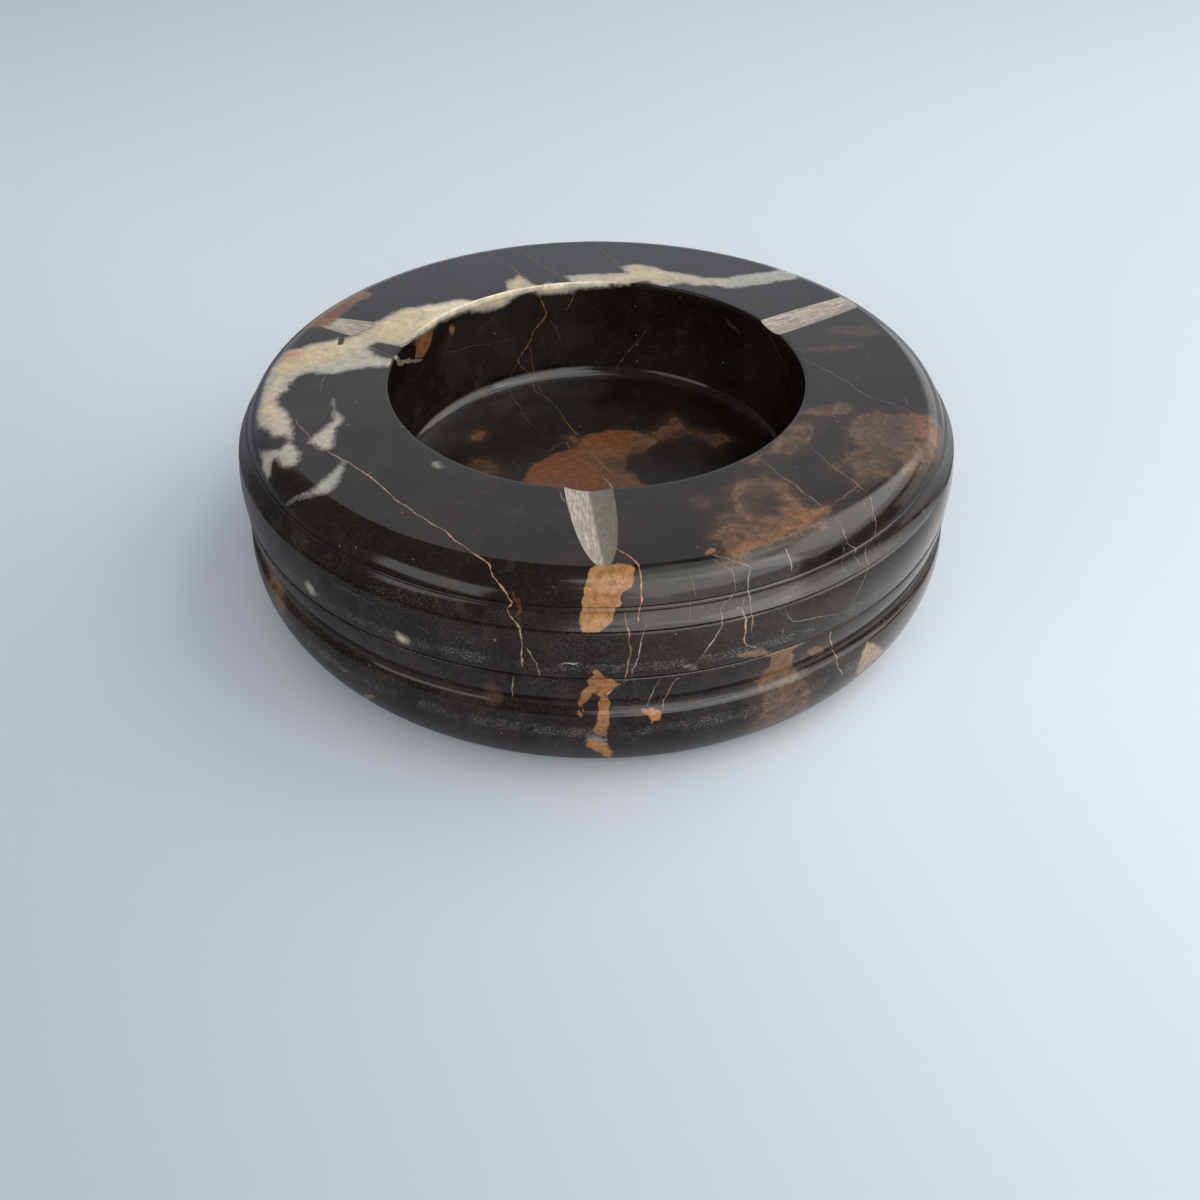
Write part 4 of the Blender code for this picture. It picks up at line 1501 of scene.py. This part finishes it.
WHITE_MILK_TONE = (226, 216, 190)
FRINGE_COVER = 0.7

OCHRE_GRAIN = (0.0017, 7.0)
OCHRE_WANDER = 1.8
OCHRE_TINTING = (0.0013, 0.64, 1.20)
OCHRE_STREAK_GRAIN = (0.0024, 5.0, 0.60)
OCHRE_STREAK = (0.0, 0.03, 0.40, 0.0)
OCHRE_STREAK_TONE = (84, 56, 34)

# Scratches run round the side: levels that the polishing rag missed, and how far each
# spreads. Above the side's top the shoulder is better polished.
SCRATCH_STRETCH = 0.50
SCRATCH_GRAIN = (0.00022, 3.0, 0.80)
SCRATCH_LEVELS = (0.44, 0.78)
SCRATCH_PATCHES = (0.0075, 6.0, 0.70, 0.38, 0.62, 0.0, 1.0)
SCRATCHED_LEVELS = ((0.0309, 0.0016), (0.0160, 0.0020))
SCRATCHED_CORE = 0.3
SCRATCHED_SIDE = 0.24
SCRATCH_TONE = (148, 144, 140)
SIDE_TOP = 0.0395
SIDE_TOP_BLUR = 0.001

# The polish, and the bowl's floor: worn dull up to one radius, polished from the other
POLISH = (0.0090, 3.0, 0.50, 0.35, 0.70, 0.10, 0.20)
POLISHED_IOR = 1.46
WORN_RADIUS = 0.030
POLISHED_RADIUS = 0.037
WORN_ROUGHNESS = 0.36

# The ground rests, with the front one's shaded right half, and the rubbed foot
STREAK_STRETCH = 0.10
STREAK_GRAIN = (0.45, 4.0, 0.65)
STREAK_LEVELS = (0.34, 0.68)
STREAK_DARK = (154, 147, 137)
STREAK_PALE = (218, 206, 190)
SHADED_ACROSS = (-0.3, 0.35, 0.0, 0.85)
SHADED_TONE = (112, 107, 99)
GROUND_COVER = (0.0012, 3.0, 0.60, 0.30, 0.62, 0.93, 0.72)
GROUND_LINES = 0.8
GROUND_ROUGHNESS = 0.75
RUBBED_SHARE = 0.35
RUBBED_TONE = (120, 114, 106)
RUBBED_ROUGHNESS = 0.62


class Shading:
    """Short words for the shader nodes that the stone needs."""

    def __init__(self, tree):
        self.nodes = tree.nodes
        self.links = tree.links
        self.place = self.nodes.new("ShaderNodeTexCoord").outputs["Object"]

    def give(self, socket, value):
        """Set a socket's constant, or link it to another socket."""
        if isinstance(value, bpy.types.NodeSocket):
            self.links.new(value, socket)
        else:
            socket.default_value = value

    def reckon(self, operation, *values):
        """A sum on plain numbers."""
        node = self.nodes.new("ShaderNodeMath")
        node.operation = operation
        for socket, value in zip(node.inputs, values):
            self.give(socket, value)
        return node.outputs[0]

    def product(self, first, *others):
        """Numbers multiplied one after another."""
        for other in others:
            first = self.reckon("MULTIPLY", first, other)
        return first

    def blend(self, share, first, second):
        """From the first colour to the second as share goes from 0 to 1."""
        node = self.nodes.new("ShaderNodeMix")
        node.data_type = "RGBA"
        for name, value in (("Factor_Float", share), ("A_Color", first), ("B_Color", second)):
            socket = next(item for item in node.inputs if item.identifier == name)
            self.give(socket, value)
        return next(item for item in node.outputs if item.identifier == "Result_Color")

    def fade(self, value, low, high, low_result=0.0, high_result=1.0):
        """A smooth change from one result to the other between low and high."""
        node = self.nodes.new("ShaderNodeMapRange")
        node.interpolation_type = "SMOOTHSTEP"
        for socket, given in zip(node.inputs, (value, low, high, low_result, high_result)):
            self.give(socket, given)
        return node.outputs[0]

    def noise(self, size, detail, roughness, place=None, twist=0.0):
        """Even noise from 0 to 1 whose blotches are about size metres wide."""
        node = self.nodes.new("ShaderNodeTexNoise")
        self.give(node.inputs["Vector"], place or self.place)
        node.inputs["Scale"].default_value = 1.0 / size
        node.inputs["Detail"].default_value = detail
        node.inputs["Roughness"].default_value = roughness
        node.inputs["Distortion"].default_value = twist
        return node.outputs["Fac"]

    def swing(self, *grain):
        """Noise that swings about nought."""
        return self.reckon("SUBTRACT", self.noise(*grain), 0.5)

    def patchy(self, size, detail, roughness, *levels):
        """Noise as a share that fades between two of its levels."""
        return self.fade(self.noise(size, detail, roughness), *levels)

    def cells(self, size):
        """Distance to scattered points about size metres apart, and a number for each."""
        node = self.nodes.new("ShaderNodeTexVoronoi")
        self.give(node.inputs["Vector"], self.place)
        node.inputs["Scale"].default_value = 1.0 / size
        return node.outputs["Distance"], node.outputs["Color"]

    def attribute(self, name):
        """A vector kept on the vertices."""
        node = self.nodes.new("ShaderNodeAttribute")
        node.attribute_name = name
        return node.outputs["Vector"]

    def parts(self, vector):
        """The three numbers of a vector."""
        node = self.nodes.new("ShaderNodeSeparateXYZ")
        self.links.new(vector, node.inputs[0])
        return node.outputs

    def joined(self, *values):
        """A vector made of three numbers."""
        node = self.nodes.new("ShaderNodeCombineXYZ")
        for socket, value in zip(node.inputs, values):
            self.give(socket, value)
        return node.outputs[0]

    def from_axis(self):
        """The square of the distance from the turning axis."""
        across, along, _level = self.parts(self.place)
        return self.reckon("MULTIPLY_ADD", across, across, self.reckon("POWER", along, 2.0))


def base_stone(shading):
    """The near-black brown ground with its soft mottling, grain and few pale specks."""
    colour = tone(*GROUND_DARK)
    for patchiness, tint in MOTTLES:
        colour = shading.blend(shading.patchy(*patchiness), colour, tone(*tint))
    for size, chance, tint in SPECKS:
        gap, numbers = shading.cells(size)
        chosen = shading.fade(shading.parts(numbers)[0], chance, chance + SPECK_CHOICE)
        speck = shading.product(chosen, shading.fade(gap, *SPECK_SIZE, 1.0, 0.0))
        colour = shading.blend(speck, colour, tone(*tint))
    return colour


def inlay_depth(shading, group, grain, wander):
    """How far inside a group's inlays a point is, with an edge that wanders, in millimetres."""
    depth, softness, _unused = shading.parts(shading.attribute(f"{group}_shape"))
    swing = shading.swing(*grain, INLAY_ROUGHNESS)
    return shading.reckon("MULTIPLY_ADD", swing, wander, depth), softness


def covering(shading, depth, softness):
    """How much an inlay covers the stone at a depth inside it."""
    return shading.fade(depth, shading.reckon("MULTIPLY", softness, -1.0), softness)


def tinted(shading, tint, size, dark, light):
    """A tint that varies between a darker and a lighter one."""
    node = shading.nodes.new("ShaderNodeVectorMath")
    node.operation = "SCALE"
    shading.links.new(tint, node.inputs[0])
    amount = shading.patchy(size, TINTING_DETAIL, TINTING_ROUGHNESS, *TINTING_LEVELS, dark, light)
    shading.give(node.inputs["Scale"], amount)
    return node.outputs[0]


def add_seams(shading, colour, covered):
    """Blend the seams over the stone, each a little ragged."""
    shift = shading.swing(*SEAM_GRAIN)
    swell = shading.patchy(*SEAM_SWELL)
    for layer in range(1, SEAM_LAYERS + 1):
        offset, half, strength = shading.parts(shading.attribute(f"seam_shape_{layer}"))
        moved = shading.reckon("MULTIPLY_ADD", shift, SEAM_WANDER, offset)
        room = shading.reckon(
            "SUBTRACT", shading.product(half, swell), shading.reckon("ABSOLUTE", moved)
        )
        real = shading.reckon("GREATER_THAN", half, THINNEST_SEAM)
        share = shading.product(shading.fade(room, -SEAM_BLUR, SEAM_BLUR), real, strength)
        share = shading.product(share, SEAM_COVER)
        tint = tinted(shading, shading.attribute(f"seam_colour_{layer}"), *SEAM_TINTING)
        colour = shading.blend(share, colour, tint)
        covered = shading.reckon("MAXIMUM", covered, share)
    return colour, covered


def add_clouds(shading, colour):
    """Blend the brown clouds over the stone: smoky, frayed and darker in the middle."""
    depth, softness = inlay_depth(shading, "cloud", CLOUD_GRAIN, CLOUD_WANDER)
    fray = shading.swing(*CLOUD_FRAY_GRAIN)
    depth = shading.reckon("MULTIPLY_ADD", fray, CLOUD_FRAY, depth)
    share = covering(shading, depth, softness)
    hole = inlay_depth(shading, "dark", CLOUD_HOLE_GRAIN, CLOUD_HOLE_WANDER)
    hole = shading.fade(covering(shading, *hole), 0.0, 1.0, 1.0, CLOUD_IN_HOLE)
    drift = shading.noise(*CLOUD_DRIFT, twist=CLOUD_DRIFT_TWIST)
    share = shading.product(share, hole, shading.fade(drift, *CLOUD_DRIFT_LEVELS))
    haze = shading.product(shading.fade(depth, *CLOUD_HAZE), drift)
    share = shading.product(shading.reckon("MAXIMUM", share, haze), shading.patchy(*CLOUD_FINE))
    rim = shading.product(shading.fade(depth, *CLOUD_RIM_DEPTH), shading.patchy(*CLOUD_RIM))
    tint = tinted(shading, shading.attribute("cloud_colour"), *CLOUD_TINTING)
    tint = shading.blend(CLOUD_VEIL, tint, tone(*CLOUD_VEIL_TONE))
    tint = shading.blend(rim, tint, tone(*CLOUD_RIM_TONE))
    return shading.blend(share, colour, tint)


def add_ochre(shading, colour):
    """Blend the solid ochre patches over the stone, with thin dark streaks in them."""
    depth, softness = inlay_depth(shading, "ochre", OCHRE_GRAIN, OCHRE_WANDER)
    share = covering(shading, depth, softness)
    tint = tinted(shading, shading.attribute("ochre_colour"), *OCHRE_TINTING)
    streak = shading.reckon("ABSOLUTE", shading.swing(*OCHRE_STREAK_GRAIN))
    tint = shading.blend(shading.fade(streak, *OCHRE_STREAK), tint, tone(*OCHRE_STREAK_TONE))
    return shading.blend(share, colour, tint), share


def add_white(shading, colour):
    """Blend the white veins over the stone: a creamy core that greys to a frayed edge."""
    depth = inlay_depth(shading, "white", WHITE_GRAIN, WHITE_WANDER)[0]
    fray = shading.swing(*WHITE_FRAY_GRAIN)
    depth = shading.reckon("MULTIPLY_ADD", fray, WHITE_FRAY, depth)
    hole = inlay_depth(shading, "dark", WHITE_HOLE_GRAIN, WHITE_HOLE_WANDER)
    open_stone = shading.reckon("SUBTRACT", 1.0, covering(shading, *hole))
    fringe = shading.product(shading.fade(depth, *WHITE_FRINGE_DEPTH), open_stone)
    core = shading.product(shading.fade(depth, *WHITE_CORE_DEPTH), open_stone)
    frayed = shading.product(fringe, shading.patchy(*WHITE_FRINGE))
    colour = shading.blend(frayed, colour, tone(*WHITE_FRINGE_TONE))
    tint = tinted(shading, shading.attribute("white_colour"), *WHITE_TINTING)
    tint = shading.blend(shading.patchy(*WHITE_SMOKE), tint, tone(*WHITE_SMOKE_TONE))
    tint = shading.blend(shading.fade(depth, *WHITE_EDGE_DEPTH), tint, tone(*WHITE_EDGE_TONE))
    tint = shading.blend(shading.patchy(*WHITE_MILK), tint, tone(*WHITE_MILK_TONE))
    return shading.blend(core, colour, tint), fringe


def add_scratches(shading, colour):
    """Fine pale scratches along the turning, thickest just above the grooves."""
    across, along, level = shading.parts(shading.place)
    place = shading.joined(
        shading.product(across, SCRATCH_STRETCH), shading.product(along, SCRATCH_STRETCH), level
    )
    marks = shading.fade(shading.noise(*SCRATCH_GRAIN, place=place), *SCRATCH_LEVELS)
    near = shading.fade(level, SIDE_TOP, SIDE_TOP + SIDE_TOP_BLUR, SCRATCHED_SIDE, 0.0)
    for middle, reach in SCRATCHED_LEVELS:
        gap = shading.reckon("ABSOLUTE", shading.reckon("SUBTRACT", level, middle))
        ring = shading.fade(gap, reach * SCRATCHED_CORE, reach, 1.0, 0.0)
        near = shading.reckon("MAXIMUM", near, ring)
    outside = shading.reckon("GREATER_THAN", shading.from_axis(), OPENING_RADIUS * BODY_RADIUS)
    share = shading.product(marks, shading.patchy(*SCRATCH_PATCHES), near, outside)
    return shading.blend(share, colour, tone(*SCRATCH_TONE))


def stone_group():
    """The stone's colour, and where inlays and seams lie, for all of its finishes."""
    tree = bpy.data.node_groups.new("marble_pattern", "ShaderNodeTree")
    tree.interface.new_socket("Stone", in_out="OUTPUT", socket_type="NodeSocketColor")
    tree.interface.new_socket("Covered", in_out="OUTPUT", socket_type="NodeSocketFloat")
    shading = Shading(tree)
    colour = add_clouds(shading, base_stone(shading))
    colour, share = add_ochre(shading, colour)
    colour, fringe = add_white(shading, colour)
    covered = shading.reckon("MAXIMUM", share, shading.product(fringe, FRINGE_COVER))
    colour, covered = add_seams(shading, colour, covered)
    colour = add_scratches(shading, colour)
    result = tree.nodes.new("NodeGroupOutput")
    tree.links.new(colour, result.inputs["Stone"])
    tree.links.new(covered, result.inputs["Covered"])
    return tree


def new_material(name, pattern):
    """A material whose shading starts from the stone's colour."""
    material = bpy.data.materials.new(name)
    material.use_nodes = True
    tree = material.node_tree
    surface = tree.nodes["Principled BSDF"]
    stone = tree.nodes.new("ShaderNodeGroup")
    stone.node_tree = pattern
    return material, Shading(tree), surface, stone.outputs


def polished_stone(pattern):
    """Stone with the gloss of an old hand polish."""
    material, shading, surface, stone = new_material("polished_marble", pattern)
    shading.give(surface.inputs["Base Color"], stone["Stone"])
    worn = shading.fade(
        shading.from_axis(), WORN_RADIUS ** 2, POLISHED_RADIUS ** 2, WORN_ROUGHNESS, 0.0
    )
    rough = shading.reckon("MAXIMUM", shading.patchy(*POLISH), worn)
    shading.give(surface.inputs["Roughness"], rough)
    surface.inputs["IOR"].default_value = POLISHED_IOR
    return material


def ground_stone(pattern):
    """Stone as the grindstone left it: pale, matt and streaked along the rest."""
    material, shading, surface, stone = new_material("ground_marble", pattern)
    across, along, number = shading.parts(shading.attribute("rest_lines"))
    place = shading.joined(across, shading.product(along, STREAK_STRETCH), number)
    streak = shading.fade(shading.noise(*STREAK_GRAIN, place=place), *STREAK_LEVELS)
    pale = shading.blend(streak, tone(*STREAK_DARK), tone(*STREAK_PALE))
    front = shading.reckon("LESS_THAN", number, 0.5)
    shaded = shading.product(shading.fade(across, *SHADED_ACROSS), front)
    pale = shading.blend(shaded, pale, tone(*SHADED_TONE))
    bare = shading.reckon("SUBTRACT", 1.0, shading.product(stone["Covered"], GROUND_LINES))
    cover = shading.product(shading.patchy(*GROUND_COVER), bare)
    shading.give(surface.inputs["Base Color"], shading.blend(cover, stone["Stone"], pale))
    surface.inputs["Roughness"].default_value = GROUND_ROUGHNESS
    return material


def foot_stone(pattern):
    """The underside, rubbed flat and left dull."""
    material, shading, surface, stone = new_material("rubbed_marble", pattern)
    dull = shading.blend(RUBBED_SHARE, stone["Stone"], tone(*RUBBED_TONE))
    shading.give(surface.inputs["Base Color"], dull)
    surface.inputs["Roughness"].default_value = RUBBED_ROUGHNESS
    return material


def make_ashtray():
    """The whole piece: turned, ground, mapped and finished."""
    pattern = stone_group()
    polished = polished_stone(pattern)
    ground = ground_stone(pattern)
    foot = foot_stone(pattern)
    outline = body_outline()
    block = turned_block(polished)
    grind_rests(block, ground)
    mesh = block.data
    mesh.name = "marble_block"
    mesh.materials.append(foot)
    finish_edges(mesh, outline, len(mesh.materials) - 1)
    sheets = {"outer": Sheet(), "inner": Sheet()}
    for draw in (draw_white_vein, draw_left_seams, draw_front_seams, draw_right_side,
                 draw_back_seams, draw_right_top):
        draw(sheets["outer"])
    for draw in (draw_bowl_wall, draw_bowl_floor):
        draw(sheets["inner"])
    places = StonePlaces(mesh, outline)
    lay_seams(mesh, places, sheets)
    lay_inlays(mesh, places, sheets)
    lay_rest_lines(mesh, places)
    lay_bake_map(mesh, places)
    return block


# The stage, in metres: a table cloth that sweeps up behind
FLOOR_HALF_WIDTH = 1.8
FLOOR_FRONT = -1.6
BACKDROP_START = 0.9
BACKDROP_CURVE = 0.35
BACKDROP_TOP = 1.25
BACKDROP_STEPS = 24

# Painted shade and light: the cloth's colour runs from darker at the near left to lighter at the
# far right, as the light falls from the right. What the gloss shows of the near cloth is painted
# too.
CLOTH_ROUGHNESS = 0.9
CLOTH_LIGHT_SLANT = 0.9
CLOTH_LIGHT_DRIFT = (-0.34, 0.06)
CLOTH_SHADED_NEAR = (173, 183, 192)
CLOTH_LIT_FAR = (230, 239, 247)
# What glossy rays see of the near cloth: painted shade on the left, painted light on the right,
# dimmed again past it.
GLOSS_LIGHT_DRIFT = (0.0, 0.10)
GLOSS_SHADED_LEFT = (144, 147, 157)
GLOSS_LIT_RIGHT = (252, 252, 252)
GLOSS_DIMMING = (0.09, 0.15)
GLOSS_DIMMED_END = (184, 187, 191)
# The far cloth and the backdrop have a painted glow, seen only by glossy rays: painted light that
# the stone reflects.
BACKDROP_NEAR = 0.35
GLOW_LEVELS = (0.45, 1.0)
GLOW_LOW = (99, 103, 113)
GLOW_HIGH = (138, 124, 119)

# Lamps: azimuth, elevation and distance from the middle of the top, width, height,
# brightness, colour, and whether matt and glossy surfaces see them
SKY = (0.97, 1.0, 1.03, 1.0)
SKY_STRENGTH = 0.12
DAYLIGHT = (1.0, 0.985, 0.96)
LEAFLIGHT = (0.95, 1.0, 0.94)
LAMPS = {
    "front_window": ((-50.0, 40.0, 1.05), 0.85, 1.80, 1.3, DAYLIGHT, True, True),
    "front_pane": ((-54.0, 44.0, 1.0), 0.95, 0.66, 1.8, DAYLIGHT, False, True),
    "low_pane": ((-78.0, 15.0, 1.2), 0.36, 0.50, 1.5, DAYLIGHT, False, True),
    "right_window": ((6.0, 45.0, 1.05), 1.20, 0.94, 1.7, DAYLIGHT, True, True),
    "right_pane": ((12.0, 42.0, 0.95), 0.80, 0.45, 1.6, DAYLIGHT, False, True),
    "top_pane": ((-18.0, 76.0, 1.26), 1.00, 0.55, 1.2, LEAFLIGHT, False, True),
    "left_window": ((-139.0, 19.0, 1.4), 0.85, 0.55, 1.8, DAYLIGHT, True, True),
    "right_wall": ((38.0, 6.0, 1.2), 1.30, 0.42, 0.8, DAYLIGHT, False, True),
    "room": ((-104.0, 32.0, 1.4), 1.8, 1.3, 1.25, DAYLIGHT, True, False),
}

CAMERA_PLACE = (0.0, -0.2228, 0.1680)
CAMERA_TILT = 50.49
CAMERA_TURN = -0.19
CAMERA_LENS = 36.0
CAMERA_SENSOR = 36.0


def build_stage():
    """A pale table cloth that sweeps up behind into a backdrop."""
    course = [(FLOOR_FRONT, 0.0), (BACKDROP_START, 0.0)]
    for step in range(1, BACKDROP_STEPS + 1):
        angle = math.pi / 2.0 * step / BACKDROP_STEPS
        course.append((
            BACKDROP_START + BACKDROP_CURVE * math.sin(angle),
            BACKDROP_CURVE * (1.0 - math.cos(angle)),
        ))
    course.append((course[-1][0], BACKDROP_TOP))
    places = []
    for along, level in course:
        places.append((-FLOOR_HALF_WIDTH, along, level))
        places.append((FLOOR_HALF_WIDTH, along, level))
    faces = [(2 * i, 2 * i + 1, 2 * i + 3, 2 * i + 2) for i in range(len(course) - 1)]
    mesh = bpy.data.meshes.new("stage")
    mesh.from_pydata(places, [], faces)
    mesh.polygons.foreach_set("use_smooth", [True] * len(faces))
    stage = bpy.data.objects.new("stage", mesh)
    bpy.context.collection.objects.link(stage)
    mesh.materials.append(cloth_material())


def cloth_material():
    """Pale cloth with painted shade and light; what the stone's gloss shows of it is painted too,
    with a painted glow.
    """
    cloth = bpy.data.materials.new("stage_cloth")
    cloth.use_nodes = True
    shading = Shading(cloth.node_tree)
    surface = shading.nodes["Principled BSDF"]
    surface.inputs["Roughness"].default_value = CLOTH_ROUGHNESS
    across, along, level = shading.parts(shading.place)
    in_gloss = shading.nodes.new("ShaderNodeLightPath").outputs["Is Glossy Ray"]
    # Painted shade and light: the cloth is coloured darker towards the near left and lighter to
    # the far right.
    drift = shading.fade(shading.reckon("MULTIPLY_ADD", across, CLOTH_LIGHT_SLANT, along), *CLOTH_LIGHT_DRIFT)
    bare = shading.blend(drift, tone(*CLOTH_SHADED_NEAR), tone(*CLOTH_LIT_FAR))
    # Painted shade and light in the stone's reflections: glossy rays see the near cloth darker on
    # the left, brighter on the right.
    drift = shading.fade(across, *GLOSS_LIGHT_DRIFT)
    glossy = shading.blend(drift, tone(*GLOSS_SHADED_LEFT), tone(*GLOSS_LIT_RIGHT))
    glossy = shading.blend(shading.fade(across, *GLOSS_DIMMING), glossy, tone(*GLOSS_DIMMED_END))
    far = shading.fade(along, BACKDROP_NEAR, BACKDROP_START)
    painted_gloss_share = shading.product(in_gloss, shading.reckon("SUBTRACT", 1.0, far))
    shading.give(surface.inputs["Base Color"], shading.blend(painted_gloss_share, bare, glossy))
    # A painted glow that only glossy rays see, from the far cloth up the backdrop: painted light
    # for the stone's reflections.
    glow = shading.blend(shading.fade(level, *GLOW_LEVELS), tone(*GLOW_LOW), tone(*GLOW_HIGH))
    shading.give(surface.inputs["Emission Color"], glow)
    shading.give(surface.inputs["Emission Strength"], shading.product(far, in_gloss))
    return cloth


def from_middle(azimuth, elevation, distance):
    """A place seen from the middle of the ashtray's top."""
    flat = distance * math.cos(math.radians(elevation))
    return (
        flat * math.cos(math.radians(azimuth)),
        flat * math.sin(math.radians(azimuth)),
        TOP + distance * math.sin(math.radians(elevation)),
    )


def add_lamp(name, direction, width, height, brightness, colour, in_matt, in_gloss):
    """A soft lamp, like a window, that faces the middle of the ashtray's top."""
    data = bpy.data.lights.new(name, "AREA")
    data.shape = "RECTANGLE"
    data.size = width
    data.size_y = height
    data.energy = brightness * math.pi * width * height
    data.color = colour
    lamp = bpy.data.objects.new(name, data)
    bpy.context.collection.objects.link(lamp)
    lamp.location = from_middle(*direction)
    to_middle = Vector((0.0, 0.0, TOP)) - Vector(from_middle(*direction))
    lamp.rotation_euler = to_middle.to_track_quat("-Z", "Y").to_euler()
    lamp.visible_camera = False
    lamp.visible_glossy = in_gloss
    lamp.visible_diffuse = in_matt


def build_light():
    """Windows in front and on the right, a small one on the left, and the room's own light."""
    world = bpy.data.worlds.new("studio")
    world.use_nodes = True
    background = world.node_tree.nodes["Background"]
    background.inputs["Color"].default_value = SKY
    background.inputs["Strength"].default_value = SKY_STRENGTH
    bpy.context.scene.world = world
    for name, lamp in LAMPS.items():
        add_lamp(name, *lamp)


def build_camera():
    """The photo's viewpoint."""
    data = bpy.data.cameras.new("camera")
    data.sensor_width = CAMERA_SENSOR
    data.lens = CAMERA_LENS
    camera = bpy.data.objects.new("camera", data)
    bpy.context.collection.objects.link(camera)
    camera.location = CAMERA_PLACE
    camera.rotation_euler = (math.radians(CAMERA_TILT), 0.0, math.radians(CAMERA_TURN))
    bpy.context.scene.camera = camera


ashtray = make_ashtray()
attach(ashtray, "root")
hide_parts("marble_body")
build_stage()
build_light()
build_camera()
bpy.context.scene.view_settings.view_transform = "Standard"
